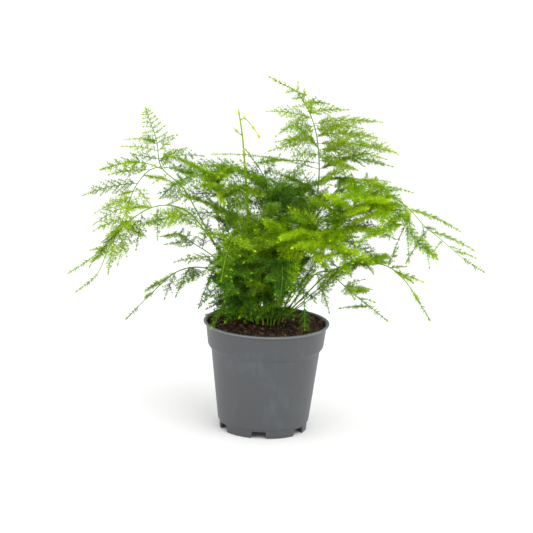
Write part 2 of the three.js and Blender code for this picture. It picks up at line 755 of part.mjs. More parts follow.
const crowd = new Crowd();
for (const frond of FRONDS) {
  const [stem] = frond.axes;
  const [x, y] = stem.route[0];
  stem.isStem = true;
  stem.route = [[x * ROOT.spread, y * ROOT.spread, ROOT.height], ...stem.route];
  for (const axis of frond.axes) {
    axis.line = smoothLine(axis.route, STEM.step);
    axis.stations = bendStations(axis.line, axis.isStem ? ROOT.straight : 1);
    axis.grown = [];
    crowd.add(samplesOf(axis.line), `${frond.name}/stem/`);
  }
}
for (const frond of FRONDS) for (const axis of frond.axes) growAimed(axis, frond, crowd);
for (const frond of FRONDS) {
  const draw = drawsFrom(frond.seed);
  for (const axis of frond.axes) growSprays(axis, frond, draw, crowd);
}

const fern = new THREE.Group();
fern.add(meshOf("pot", makePot(), plastic));
fern.add(meshOf("soil", makeSoil(FRONDS.map((frond) => holeFor(frond.axes[0].line))), peat));
for (const frond of FRONDS) {
  const draw = drawsFrom(frond.seed + 1);
  const pieces = frond.axes.map(makeAxis);
  for (const axis of frond.axes) {
    axis.grown.forEach((spray, i) => {
      const line = [middleOf(axis, spray.share), ...spray.line.slice(1)];
      pieces.push(makeSpray({ ...spray, line }, i % 4 > 1, draw, crowd));
    });
  }
  const solid = pieces.reduce((whole, piece) => whole.add(piece));
  fern.add(meshOf(frond.name, solid, green(frond.colour)));
}

export default fern;
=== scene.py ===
"""A lace-leaved asparagus fern growing in a plastic nursery pot.

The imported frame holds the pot, the soil and a coarse solid for each frond. This script makes the
finished surfaces in their place: a smooth moulded pot, crumbly soil, and fronds with all their twigs,
needles and buds. Sizes in the tables are millimetres; meshes are in metres. +Z is up, -Y the front.
"""

import math

import bmesh
import bpy
import numpy as np
from bpy.props import FloatProperty, FloatVectorProperty, IntProperty, PointerProperty
from mathutils import Matrix, Vector
from mathutils.bvhtree import BVHTree


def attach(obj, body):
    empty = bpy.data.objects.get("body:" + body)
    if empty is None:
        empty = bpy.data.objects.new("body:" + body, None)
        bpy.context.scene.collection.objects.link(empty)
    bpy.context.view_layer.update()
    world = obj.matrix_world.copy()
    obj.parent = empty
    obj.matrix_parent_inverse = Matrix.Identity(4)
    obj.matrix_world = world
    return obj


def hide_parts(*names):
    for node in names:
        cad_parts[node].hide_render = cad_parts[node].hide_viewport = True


bl_info = {
    "name": "Potted Asparagus Fern",
    "version": (1, 0, 0),
    "blender": (4, 5, 0),
    "location": "View3D > Sidebar > Fern",
    "description": "Makes a lace-leaved asparagus fern in a plastic nursery pot",
    "category": "Add Mesh",
}

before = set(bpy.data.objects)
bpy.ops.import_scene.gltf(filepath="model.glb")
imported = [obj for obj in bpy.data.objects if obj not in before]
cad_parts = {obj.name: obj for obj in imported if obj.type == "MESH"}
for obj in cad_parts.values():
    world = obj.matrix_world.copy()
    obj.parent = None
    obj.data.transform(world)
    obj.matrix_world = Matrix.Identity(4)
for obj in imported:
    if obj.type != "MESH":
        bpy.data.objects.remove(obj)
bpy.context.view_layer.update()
MM = 0.001

# ------------------------------------------------------------------ the pot's and the soil's section

# Corners of the pot's section, from the axis under the floor, out and up to the lip, and down the
# inside: radius, height, and how far the corner is rounded off.
POT_SECTION = [
    (39.5, 7.2, 0.0),
    (39.9, 0.0, 0.4),
    (41.3, 0.0, 0.6),
    (41.9, 7.6, 0.4),
    (43.2, 9.0, 0.9),
    (51.6, 77.4, 0.35),
    (54.9, 81.7, 1.5),
    (57.4, 102.2, 0.5),
    (59.6, 102.2, 0.7),
    (60.0, 104.0, 0.8),
    (57.0, 104.0, 0.5),
    (56.0, 101.8, 0.4),
    (53.7, 82.2, 1.2),
    (50.4, 77.9, 0.4),
    (42.0, 10.0, 0.6),
    (41.3, 8.4, 0.4),
]
ROUNDING_STEPS = 3  # faces across a rounded corner
# Notches in the foot ring. Each is cut by a wedge that starts below the foot.
NOTCH = {"count": 6, "first_deg": -95, "height": 6.8, "top_width": 12.6, "foot_width": 16.2}
WEDGE = {"from_axis": 41.0, "length": 12.0, "below": 2.0, "rounding": 0.5}
DRAIN = {"radius": 4.0, "from_axis": 33.5, "height": 7.8, "depth": 6.0, "sides": 32}  # in the floor
LIP_HIGHLIGHT = {"radius": 57.6, "from_height": 102.1}  # where the lip is painted pale: a painted highlight on its top and outer edge
STAIN_AND_SHADE = {"radius": 56.7, "from_height": 98.0, "to_height": 103.6}  # where the inner wall is painted dark: soil that sticks there, and painted shade

# The soil's section up the pot's inner wall: radius and height.
SOIL_SECTION = [(41.0, 8.9), (41.7, 10.2), (50.0, 77.9), (53.3, 82.3), (55.2, 99.2)]
SOIL_CROWN = 101.8  # height round the stems; the edge is the section's last height
SOIL_LOOSE = 1.6  # how much higher the loose crumbs lie at the edge
SOIL_SURFACE = {"rings": 38, "sides": 150, "tone": 0.28, "seed": 71}
SOIL_LUMPS = (("heaps", 11, 0.9), ("lumps", 4.5, 0.8), ("grains", 1.8, 0.55))  # sizes, shares of the relief
STEM_FOOT = 85.0  # the stems stand in the soil down to here

# Loose crumbs, most of them peat: how far out they lie, the mean and the spread of their sizes' logarithm
# and of their tones, the smallest and largest of both, how flat they are, and how far they stick out.
CRUMBS = {
    "kinds": 5, "out_to": 54.0, "size": (0.08, 0.45), "sizes": (0.45, 2.6), "tone": (0.27, 0.18),
    "tones": (0.02, 0.66), "flat": (0.6, 1.2), "out": 0.1,
}
BARK = {"share": 0.12, "tones": (0.45, 0.65)}
SPECKS = {"share": 0.03, "tones": (0.85, 1.0), "size": 0.6}
FIBRES = {
    "out_to": 51.0, "widths": (0.15, 0.5), "lengths": (1.5, 4.5), "tones": (0.3, 0.7), "tilt": 0.25,
    "above": 0.3,
}
DROP_FROM = 120.0  # crumbs fall onto the soil from this height

# ------------------------------------------------------------------ the fronds
# Low tones are partly painted shade, for fronds low in the middle of the plant; high ones partly painted
# light, for the tall ones on top.
#
# Each has a main stem and may have arms, which fork off it. A frond's finish names its colours, its tone
# says how pale it is, from 0 to 1, and its seed starts its own draws. An arm may have a tone of its own.
# For the stem, the first of the axes, and for the arms,
#   route: the points it passes through; a stem's first is at the soil, an arm's on its stem
#   bare: the share of the route that carries no sprays
#   sprays, reach: how many side sprays follow, and the length of the longest
#   across_deg: the direction in which they spread, seen from above
#   roll_deg: how far they stray from that plane
#   droop: how fast they bend down, per mm
#   aimed: sprays that go from a share of the route to a set tip; those called plain have no twigs
#   level, broad: how level all of them are turned, and how broad they are
#   buds: the shares of the route at which a bud sits
# and, where it differs from the usual, for the tip of the stem or the arm itself,
#   feather: how much of it, in mm, has short twigs or none in place of sprays
#   plain: how much of it, in mm, has needles but no twigs
#   comb: those short twigs: their gap, the degrees that they open, and the longest
#   needle, fine: how long its own needles are, and how far apart
#   young: how near to its end, in mm, the needles are still short
#   facing: where its flat side faces

FRONDS = [
    dict(name="frond_left_tall", finish="fresh", tone=0.62, seed=11, axes=[
        dict(route=[(-9, 2, 104), (-30, 6, 139), (-53, 10, 178), (-69, 12, 205), (-84, 13, 229),
                (-104, 12, 247), (-109, 10, 273), (-120, 8, 303)],
            bare=0.72, sprays=9, reach=30, across_deg=10, roll_deg=15, droop=0.001, plain=2, young=6,
            feather=33, comb=(2.7, 75, 14), needle=0.8, fine=1.0, facing=(0.15, -1, 0.2),
            aimed=[(0.79, (-81, 2, 268)), (0.8, (-66, 22, 257)), (0.83, (-140, 4, 267)),
                (0.86, (-94, 14, 277))]),
        dict(route=[(-104, 12, 247), (-114, 14, 244), (-127, 17, 228), (-133, 20, 214), (-138, 22, 197),
                (-151, 26, 172), (-170, 30, 152), (-191, 34, 136)],
            bare=0.5, sprays=5, reach=30, across_deg=60, roll_deg=60, droop=0.004, plain=28,
            aimed=[(0.08, (-152, 2, 240)), (0.2, (-176, 10, 218)), (0.23, (-114, 30, 206)),
                (0.31, (-165, 16, 200)), (0.37, (-167, 28, 186)), (0.42, (-124, 34, 179)),
                (0.46, (-166, 14, 183)), (0.55, (-136, 36, 154))]),
        dict(route=[(-97, 13, 242), (-114, 8, 250), (-127, 2, 253), (-144, -4, 251), (-159, -10, 247)],
            bare=0.15, sprays=5, reach=26, across_deg=90, roll_deg=30, droop=0.006),
    ]),
    dict(name="frond_left_low", finish="fresh", seed=23, axes=[
        dict(route=[(-13, -3, 104), (-36, -14, 158), (-57, -25, 191), (-79, -36, 217), (-104, -46, 222),
                (-130, -54, 208), (-146, -58, 186), (-158, -60, 158), (-176, -60, 142)],
            bare=0.5, sprays=5, reach=46, across_deg=90, roll_deg=40, droop=0.005, plain=26,
            aimed=[(0.43, (-87, -34, 210)), (0.5, (-119, -56, 205)), (0.62, (-103, -52, 192)),
                (0.67, (-122, -62, 184)), (0.71, (-139, -50, 167)), (0.74, (-159, -70, 175)),
                (0.79, (-148, -48, 157)), (0.83, (-163, -76, 185))]),
    ]),
    dict(name="shoot_bare", finish="young", seed=5, axes=[
        dict(route=[(-7, 7, 104), (-19, 7, 190), (-24, 6, 239), (-26, 5, 259), (-29, 3, 284),
                (-33, 2, 306)],
            bare=1, sprays=0, buds=[0.76, 0.82, 0.985]),
        dict(route=[(-31, 2.6, 296), (-28, 1, 299), (-20, -3, 292), (-13, -8, 283)],
            bare=1, sprays=0, buds=[0.2, 0.62, 0.97]),
        dict(route=[(-28.7, 3.2, 281), (-33, 4, 284), (-36, 6, 287)],
            bare=1, sprays=0, buds=[0.75]),
    ]),
    dict(name="frond_right_tall", finish="fresh", tone=0.62, seed=37, axes=[
        dict(route=[(5, 6, 104), (22, 10, 152), (36, 14, 196), (44, 17, 229), (43, 15, 269),
                (36, 12, 298), (21, 9, 323), (6, 8, 331), (-5, 6, 337)],
            bare=0.5, sprays=4, reach=60, across_deg=90, roll_deg=40, droop=0.004, plain=24, feather=45,
            level=0.6, broad=0.38,
            aimed=[(0.61, (-56, 6, 262), "plain"), (0.63, (-15, -14, 259), "plain"),
                (0.64, (79, -24, 258)), (0.65, (112, -2, 258)), (0.68, (107, 16, 261)),
                (0.7, (113, -14, 274)), (0.71, (3, 6, 276)), (0.73, (96, 4, 284)),
                (0.75, (83, 26, 288)), (0.76, (8, -12, 291)), (0.77, (101, 0, 299)),
                (0.79, (-6, -2, 306)), (0.81, (69, 10, 308)), (0.85, (51, 22, 311)),
                (0.89, (29, 16, 320))]),
        dict(route=[(44, 17, 238), (60, 10, 242), (78, 0, 242), (94, -12, 240), (109, -24, 236),
                (129, -40, 225), (142, -52, 213), (155, -62, 205), (177, -78, 190), (195, -90, 181)],
            bare=0.3, sprays=5, reach=34, across_deg=100, roll_deg=40, droop=0.005, plain=24,
            broad=0.18, tone=0.4,
            aimed=[(0.19, (111, 4, 242)), (0.29, (132, -8, 235)), (0.52, (177, -24, 203)),
                (0.54, (115, -56, 189), "plain"), (0.66, (126, -76, 184), "plain"),
                (0.68, (187, -54, 193)), (0.75, (143, -84, 183), "plain"), (0.83, (189, -70, 189))]),
    ]),
    dict(name="frond_right_front", finish="young", seed=41, axes=[
        dict(route=[(7, -9, 104), (21, -20, 145), (40, -36, 180), (62, -52, 214), (80, -62, 233),
                (98, -68, 237), (114, -72, 230), (126, -75, 213), (153, -78, 189)],
            bare=0.55, sprays=5, reach=46, across_deg=60, roll_deg=60, droop=0.005, plain=3, feather=40,
            comb=(2.4, 42, 8), facing=(0.3, -0.7, 0.7),
            aimed=[(0.39, (-7, -60, 216)), (0.47, (23, -66, 227)), (0.48, (108, -44, 176)),
                (0.55, (115, -46, 199)), (0.59, (55, -92, 206)), (0.63, (115, -40, 213)),
                (0.7, (130, -92, 222))]),
    ]),
    dict(name="frond_right_low", finish="fresh", seed=53, axes=[
        dict(route=[(14, -1, 104), (31, -6, 127), (62, -18, 161), (88, -28, 171), (111, -32, 169),
                (128, -35, 156), (140, -37, 139), (152, -39, 121)],
            bare=0.42, sprays=5, reach=46, across_deg=60, roll_deg=50, droop=0.007, plain=26,
            aimed=[(0.59, (97, -50, 166)), (0.7, (120, -20, 184)), (0.76, (143, -46, 159))]),
    ]),
    dict(name="frond_front_bright", finish="young", seed=61, axes=[
        dict(route=[(1, -10, 104), (1, -24, 142), (2, -40, 175), (4, -54, 195), (28, -64, 204),
                (46, -72, 201), (65, -78, 192), (74, -82, 174)],
            bare=0.5, sprays=5, reach=50, across_deg=95, roll_deg=80, droop=0.006,
            aimed=[(0.43, (-27, -58, 199)), (0.52, (-22, -72, 178)), (0.62, (-6, -84, 221)),
                (0.64, (22, -86, 158)), (0.7, (47, -92, 185)), (0.8, (78, -60, 207)),
                (0.9, (95, -66, 181))]),
    ]),
    dict(name="frond_right_back_low", finish="fresh", seed=71, axes=[
        dict(route=[(15, 6, 104), (31, 24, 127), (46, 42, 142), (58, 58, 140), (75, 72, 123),
                (96, 84, 104), (118, 90, 86)],
            bare=0.36, sprays=5, reach=46, across_deg=120, roll_deg=45, droop=0.007, plain=44,
            aimed=[(0.43, (60, 40, 105)), (0.68, (93, 66, 132)), (0.74, (98, 92, 116)),
                (0.8, (104, 74, 108))]),
    ]),
    dict(name="frond_left_back_low", finish="shaded", seed=83, axes=[
        dict(route=[(-16, 6, 104), (-31, 24, 127), (-51, 42, 140), (-69, 56, 141), (-90, 68, 132),
                (-113, 78, 108), (-137, 86, 80)],
            bare=0.36, sprays=5, reach=46, across_deg=60, roll_deg=45, droop=0.007, plain=18,
            aimed=[(0.56, (-88, 52, 113)), (0.64, (-100, 76, 104)), (0.71, (-118, 62, 115))]),
    ]),
    dict(name="frond_left_back", finish="shaded", seed=97, axes=[
        dict(route=[(-12, 11, 104), (-27, 32, 131), (-52, 56, 151), (-73, 78, 159), (-89, 96, 164),
                (-102, 110, 158)],
            bare=0.35, sprays=7, reach=52, across_deg=30, roll_deg=45, droop=0.006),
    ]),
    dict(name="frond_centre_back", finish="leafy", tone=0.72, seed=101, axes=[
        dict(route=[(-2, 11, 104), (-1, 20, 169), (-2, 28, 211), (-8, 30, 239), (-15, 28, 250),
                (-25, 24, 264)],
            bare=0.45, sprays=5, reach=70, across_deg=60, roll_deg=50, droop=0.004, plain=24,
            needle=1.0, fine=1.1,
            aimed=[(0.71, (-55, 44, 214)), (0.73, (70, 14, 216)), (0.78, (-98, 14, 230)),
                (0.81, (56, 34, 231)), (0.84, (-101, 24, 244)), (0.91, (26, 10, 259))]),
    ]),
    dict(name="frond_centre_left", finish="fresh", seed=113, axes=[
        dict(route=[(-8, -7, 104), (-27, -14, 156), (-39, -20, 197), (-45, -27, 230), (-49, -36, 246),
                (-46, -50, 257), (-40, -66, 255)],
            bare=0.42, sprays=5, reach=56, across_deg=60, roll_deg=60, droop=0.006,
            aimed=[(0.57, (-90, -36, 189)), (0.65, (-121, -20, 197)), (0.74, (-102, -36, 227)),
                (0.77, (-8, -44, 234)), (0.8, (-68, -50, 258))]),
    ]),
    dict(name="frond_low_left", finish="leafy", tone=0.24, seed=127, axes=[
        dict(route=[(-9, -11, 104), (-21, -32, 142), (-34, -48, 166), (-45, -60, 174), (-52, -68, 164),
                (-57, -74, 141)],
            bare=0.4, sprays=5, reach=46, across_deg=130, roll_deg=60, droop=0.006, plain=32,
            aimed=[(0.53, (-51, -54, 140)), (0.65, (-53, -56, 194)), (0.74, (-16, -82, 164)),
                (0.84, (-63, -62, 131), "plain")]),
    ]),
    dict(name="frond_low_front", finish="leafy", tone=0.22, seed=131, axes=[
        dict(route=[(4, -14, 104), (7, -36, 146), (9, -58, 172), (12, -80, 180), (13, -98, 172),
                (12, -112, 158)],
            bare=0.4, sprays=7, reach=52, across_deg=5, roll_deg=50, droop=0.005),
    ]),
    dict(name="frond_hanging", finish="leafy", seed=139, axes=[
        dict(route=[(11, -6, 104), (22, -16, 135), (28, -26, 149), (33, -31, 143), (35, -34, 127),
                (36, -37, 107)],
            bare=0.6, sprays=5, reach=18, across_deg=20, roll_deg=60, droop=0.01, plain=40, feather=34,
            young=4, needle=1.55, fine=1.45, facing=(0, -1, 0.1)),
    ]),
    dict(name="frond_back", finish="leafy", seed=149, axes=[
        dict(route=[(3, 14, 104), (8, 44, 160), (10, 72, 204), (8, 98, 218), (4, 118, 206),
                (0, 131, 185)],
            bare=0.42, sprays=7, reach=62, across_deg=5, roll_deg=40, droop=0.005),
    ]),
    dict(name="frond_back_left", finish="leafy", seed=157, axes=[
        dict(route=[(-7, 15, 104), (-24, 46, 160), (-42, 74, 204), (-64, 94, 222), (-88, 106, 216),
                (-108, 114, 196)],
            bare=0.42, sprays=7, reach=58, across_deg=45, roll_deg=40, droop=0.005),
    ]),
    dict(name="frond_back_right", finish="fresh", seed=163, axes=[
        dict(route=[(10, 11, 104), (30, 40, 162), (52, 62, 206), (76, 82, 226), (102, 98, 222),
                (124, 108, 200)],
            bare=0.42, sprays=7, reach=60, across_deg=130, roll_deg=40, droop=0.005),
    ]),
    dict(name="frond_front", finish="fresh", tone=0.28, seed=173, axes=[
        dict(route=[(-3, -15, 104), (-13, -36, 156), (-24, -62, 192), (-32, -88, 204), (-38, -112, 194),
                (-42, -130, 174)],
            bare=0.42, sprays=6, reach=56, across_deg=10, roll_deg=45, droop=0.005),
    ]),
]

# ------------------------------------------------------------------ settings


def colour_setting(name, description, colour):
    """A colour that a user can pick; its default is given as red, green and blue from 0 to 255."""
    return FloatVectorProperty(
        name=name, description=description, subtype="COLOR", min=0, max=1, default=linear(colour)
    )


def length_setting(name, description, millimetres, least=0.0, most=10.0):
    """A small length that a user can change, given in millimetres."""
    return FloatProperty(
        name=name, description=description, unit="LENGTH", min=least * MM, max=most * MM,
        default=millimetres * MM, precision=5,
    )


def linear(colour):
    """A display colour, from 0 to 255, as the linear values that shaders use."""
    shares = [c / 255 for c in colour]
    return tuple(c / 12.92 if c <= 0.04045 else ((c + 0.055) / 1.055) ** 2.4 for c in shares)


class FernPotSettings(bpy.types.PropertyGroup):
    """The nursery pot."""

    plastic: colour_setting("Plastic", "Colour of the moulded plastic", (76, 78, 81))
    scuff: colour_setting("Scuffs", "Colour of rubbed and dusty places", (104, 109, 112))
    # The lip colour is a painted highlight, where light glances off the lip's top and outer edge.
    lip: colour_setting("Lip", "Colour of the rubbed lip", (124, 128, 131))
    # Partly the colour of soil that sticks inside, partly painted shade on the inner wall.
    stain_and_shade: colour_setting("Soil stain", "Colour of the soil that sticks inside", (34, 26, 21))
    roughness: FloatProperty(
        name="Roughness", description="How matt the plastic is", default=0.46, min=0, max=1
    )
    sides: IntProperty(name="Sides", description="Faces round the pot", default=132, min=24, max=240)


class FernSoilSettings(bpy.types.PropertyGroup):
    """The potting soil."""

    peat: colour_setting("Peat", "Colour of the moist peat", (56, 39, 26))
    bark: colour_setting("Bark", "Colour of bark crumbs and fibres", (116, 82, 55))
    grit: colour_setting("Grit", "Colour of the few pale specks", (186, 152, 112))
    relief: length_setting("Relief", "Height of the lumps", 3.6)
    crumbs: IntProperty(name="Crumbs", description="Loose crumbs on top", default=1700, min=0, max=4000)
    fibres: IntProperty(name="Fibres", description="Bits of bark fibre on top", default=110, min=0, max=600)


class FernFoliageSettings(bpy.types.PropertyGroup):
    """Stems, twigs, needles and buds."""

    needle: length_setting("Needle length", "Length of the longest needles", 6.2, least=1)
    whorl_gap: length_setting("Whorl gap", "Distance between needle whorls", 2.1, least=0.5)
    twig_gap: length_setting("Twig gap", "Distance between twigs along a spray", 2.9, least=1, most=20)
    light: FloatProperty(
        name="Light let through", description="Share of light that a needle lets through",
        default=0.15, min=0, max=1, subtype="FACTOR",
    )


class FernStageSettings(bpy.types.PropertyGroup):
    """Floor, lights and camera."""

    floor: colour_setting("Floor", "Colour of the floor", (250, 250, 250))
    sky: FloatProperty(
        name="Sky", description="Strength of the even light from all round", default=1.0, min=0
    )
    key: FloatProperty(name="Key light", description="Strength of the main softbox", default=1.2, min=0)
    fill: FloatProperty(name="Fill light", description="Strength of the other softbox", default=0.5, min=0)
    distance: FloatProperty(
        name="Camera distance", description="From the aim point", default=2.5, unit="LENGTH"
    )
    elevation: FloatProperty(
        name="Camera elevation", description="Above the horizon", subtype="ANGLE",
        default=math.radians(13.4),
    )
    roll: FloatProperty(
        name="Camera roll", description="Turn about the line of sight", subtype="ANGLE",
        default=math.radians(2.0),
    )
    lens: FloatProperty(name="Lens", description="Focal length in millimetres", default=179.0, min=10)


# ------------------------------------------------------------------ growth, in millimetres

UP = np.array((0.0, 0.0, 1.0))
AWAY = np.array((0.0, 1.0, 0.0))
DRAWS = {"prime": 2147483647, "factor": 16807, "seed_factor": 7919}  # a simple generator of draws
CURVE_PARTS = 200  # how finely a curve's length is measured
STEP = 6.0  # the distance between the points of a line
FOOT_SPREAD = 0.9  # how far out a stem's foot stands, as a share of where it leaves the soil
SPRAY = {"shortest": 9, "arch": 0.09}  # the rise of an arch is a share of its length
OPENING_DEG = {"first": 66, "closing": 22, "spread": 16}  # between a spray and the stem ahead of it
CLEAR = {"sample": 2, "spray": 2.5}  # how finely a line is tested, and how clear of others it stays
SWINGS_DEG = (0, 14, -14, 28, -28, 42, -42)  # tried in turn, to pass other fronds
POT_SPACE = {"radius": 63, "top": 105.5}  # no spray enters it


def draws_from(seed):
    """A function that gives repeatable draws between 0 and 1."""
    state = seed * DRAWS["seed_factor"] % DRAWS["prime"]

    def draw():
        nonlocal state
        state = state * DRAWS["factor"] % DRAWS["prime"]
        return state / DRAWS["prime"]

    draw()
    draw()
    return draw


def unit(v):
    """A vector, or each row of an array of vectors, at length 1."""
    return v / np.linalg.norm(v, axis=-1, keepdims=True)


def upward(v):
    """A vector, turned over if it points down."""
    return -v if v[2] < 0 else v


def turned(v, axis, angle):
    """A vector turned about an axis of length 1."""
    return (
        v * math.cos(angle)
        + np.cross(axis, v) * math.sin(angle)
        + axis * (axis @ v) * (1 - math.cos(angle))
    )


def equal_steps(curve, parts=None):
    """Points at equal distances along a curve, which is a function of shares from 0 to 1: the ends of so
    many parts, or of parts that are about a step long."""
    shares = np.linspace(0, 1, CURVE_PARTS + 1)
    gaps = np.linalg.norm(np.diff(curve(shares), axis=0), axis=1)
    lengths = np.concatenate(([0], np.cumsum(gaps)))
    if parts is None:
        parts = max(3, round_half_up(lengths[-1] / STEP))
    wanted = np.linspace(0, 1, parts + 1) * lengths[-1]
    return curve(np.interp(wanted, lengths, shares))


def round_half_up(x):
    """The nearest whole number."""
    return math.floor(x + 0.5)


def smooth_line(route):
    """A smooth line through a route: a centripetal spline in equal steps."""
    points = np.array(route, float)
    count = len(points)
    ends = np.vstack([2 * points[0] - points[1], points, 2 * points[-1] - points[-2]])

    def curve(shares):
        place = np.asarray(shares) * (count - 1)
        k = np.minimum(place.astype(int), count - 2)
        w = (place - k)[:, None]
        p0, p1, p2, p3 = near = [ends[k + i] for i in range(4)]
        gaps = [b - a for a, b in zip(near, near[1:])]
        d0, d1, d2 = (np.sum(gap**2, axis=1, keepdims=True) ** 0.25 for gap in gaps)
        t1 = ((p1 - p0) / d0 - (p2 - p0) / (d0 + d1) + (p2 - p1) / d1) * d1
        t2 = ((p2 - p1) / d1 - (p3 - p1) / (d1 + d2) + (p3 - p2) / d2) * d1
        return p1 + t1 * w + (3 * (p2 - p1) - 2 * t1 - t2) * w**2 + (2 * (p1 - p2) + t1 + t2) * w**3

    return equal_steps(curve)


def arch_to(root, tip):
    """A spray's line to a set tip, in a low arch."""
    length = np.linalg.norm(tip - root)
    top = (root + tip) / 2 + UP * SPRAY["arch"] * length

    def curve(shares):
        t = np.asarray(shares)[:, None]
        return (1 - t) ** 2 * root + 2 * (1 - t) * t * top + t**2 * tip

    return equal_steps(curve, max(2, round_half_up(length / STEP)))


def spray_line(root, heading, length, droop):
    """A spray's line: it starts along heading and bends down as it grows."""
    steps = max(2, round_half_up(length / STEP))
    step = length / steps
    line = [root]
    way = heading
    for _ in range(steps):
        line.append(line[-1] + way * step)
        way = unit(way - UP * droop * step)
    return np.array(line)


def along(line, share):
    """The point and the direction at a share of the way along a line of equal steps."""
    place = min(share * (len(line) - 1), len(line) - 1.0001)
    k = int(place)
    return line[k] + (line[k + 1] - line[k]) * (place - k), unit(line[k + 1] - line[k])


def length_of(line):
    """The length of a line."""
    return float(np.linalg.norm(np.diff(line, axis=0), axis=1).sum())


def outline(x):
    """How long side growth is, from 0 to 1, at a share of the way along what carries it."""
    return min(1, 0.5 + 1.7 * x) * (1 - x) ** 0.75


def samples_of(line):
    """Points along a line, close enough to tell how near it comes to another."""
    samples = []
    for a, b in zip(line, line[1:]):
        parts = max(1, math.ceil(np.linalg.norm(b - a) / CLEAR["sample"]))
        samples += [a + (b - a) * (k / parts) for k in range(parts)]
    return [tuple(p) for p in samples] + [tuple(line[-1])]


class Crowd:
    """The space that is taken, as points sorted into small cells, each with its owner's name."""

    CELL = 4  # no gap that is asked for is wider

    def __init__(self):
        self.cells = {}

    def cell(self, point):
        """The cell that holds a point."""
        return tuple(math.floor(c / self.CELL) for c in point)

    def add(self, points, owner):
        """Takes up the space round points."""
        for point in points:
            self.cells.setdefault(self.cell(point), []).append((point, owner))

    def is_near(self, point, gap, mine):
        """Whether anything whose owner isn't mine lies nearer than the gap."""
        x, y, z = self.cell(point)
        for i in (x - 1, x, x + 1):
            for j in (y - 1, y, y + 1):
                for k in (z - 1, z, z + 1):
                    for other, owner in self.cells.get((i, j, k), ()):
                        if owner != mine and math.dist(other, point) < gap:
                            return True
        return False


def in_pot(p):
    """Whether a point lies in the pot, or too near to it."""
    return p[2] < POT_SPACE["top"] and math.hypot(p[0], p[1]) < POT_SPACE["radius"]


def clear_share(line, name, crowd):
    """The share of a line, from 0 to 1, that lies clear of the pot and of other fronds."""
    samples = samples_of(line)
    for i, p in enumerate(samples):
        if in_pot(p) or crowd.is_near(p, CLEAR["spray"], name):
            return i / len(samples)
    return 1


def add_spray(axis, name, share, line, over, clear, crowd, kind="grown"):
    """Adds a spray to an axis, cut back to its clear share, unless too little of it is left."""
    kept = line if clear == 1 else line[: math.floor(clear * len(line))]
    if len(kept) < 3:
        return
    crowd.add(samples_of(kept), name)
    axis["grown"].append({"line": kept, "share": share, "over": upward(over), "kind": kind})


def grow_aimed(axis, name, crowd):
    """The sprays of an axis that go to set tips."""
    for share, tip, *kind in axis.get("aimed", ()):
        point, way = along(axis["line"], share)
        line = arch_to(point, np.array(tip, float))
        over = unit(np.cross(way, line[1] - point))
        clear = clear_share(line, name, crowd)
        add_spray(axis, name, share, line, over, clear, crowd, *(kind or ["aimed"]))


def grow_sprays(axis, name, draw, crowd):
    """The other sprays of an axis: each swings, or stops short, to stay clear of other fronds."""
    if not axis["sprays"]:
        return
    turn = math.radians(axis["across_deg"])
    across = np.array((math.cos(turn), math.sin(turn), 0))
    for i in range(axis["sprays"]):
        x = (i + 0.3 + 0.4 * draw()) / axis["sprays"]
        roll = math.radians(axis["roll_deg"]) * (2 * draw() - 1)
        opening = OPENING_DEG["first"] - OPENING_DEG["closing"] * x
        opening = math.radians(opening + OPENING_DEG["spread"] * (draw() - 0.5))
        length = max(SPRAY["shortest"], axis["reach"] * outline(x) * (0.8 + 0.4 * draw()))
        droop = axis["droop"] * (0.6 + 0.8 * draw())
        share = axis["bare"] + (1 - axis["bare"]) * x
        point, way = along(axis["line"], share)
        side = unit(across - way * (across @ way)) * (1 if i % 2 else -1)
        side = turned(side, way, roll)
        best = (-1, None, None)
        for swing in SWINGS_DEG:
            out = turned(side, way, math.radians(swing))
            heading = way * math.cos(opening) + out * math.sin(opening)
            line = spray_line(point, heading, length, droop)
            clear = clear_share(line, name, crowd)
            if clear > best[0]:
                best = (clear, line, np.cross(way, out))
            if clear == 1:
                break
        add_spray(axis, name, share, best[1], best[2], best[0], crowd)


def grow_fronds():
    """Gives every axis of every frond its line and its sprays."""
    crowd = Crowd()
    for frond in FRONDS:
        stem = frond["axes"][0]
        x, y = stem["route"][0][:2]
        foot = (x * FOOT_SPREAD, y * FOOT_SPREAD, STEM_FOOT)
        for axis in frond["axes"]:
            axis["line"] = smooth_line(([foot] if axis is stem else []) + axis["route"])
            axis["grown"] = []
            crowd.add(samples_of(axis["line"]), frond["name"])
    for frond in FRONDS:
        for axis in frond["axes"]:
            grow_aimed(axis, frond["name"], crowd)
    for frond in FRONDS:
        draw = draws_from(frond["seed"])
        for axis in frond["axes"]:
            grow_sprays(axis, frond["name"], draw, crowd)


# ------------------------------------------------------------------ making meshes


def start_clean():
    """Leaves edit mode and deselects everything, because an operator acts on all that is selected."""
    if bpy.context.object and bpy.context.object.mode != "OBJECT":
        bpy.ops.object.mode_set(mode="OBJECT")
    bpy.ops.object.select_all(action="DESELECT")


def pick(*pieces):
    """Selects only these pieces, and makes the last one active."""
    start_clean()
    for piece in pieces:
        piece.select_set(True)
    bpy.context.view_layer.objects.active = pieces[-1]


def put_in_scene(name, data):
    """A new object of a mesh, a light or a camera, in the scene."""
    thing = bpy.data.objects.new(name, data)
    bpy.context.scene.collection.objects.link(thing)
    return thing


def turn_outward():
    """Turns all faces of the shell in edit mode outward, and leaves edit mode."""
    bpy.ops.mesh.select_all(action="SELECT")
    bpy.ops.mesh.normals_make_consistent(inside=False)
    bpy.ops.object.mode_set(mode="OBJECT")


def apply_all(piece):
    """Applies a piece's modifiers in order."""
    pick(piece)
    for modifier in list(piece.modifiers):
        bpy.ops.object.modifier_apply(modifier=modifier.name)


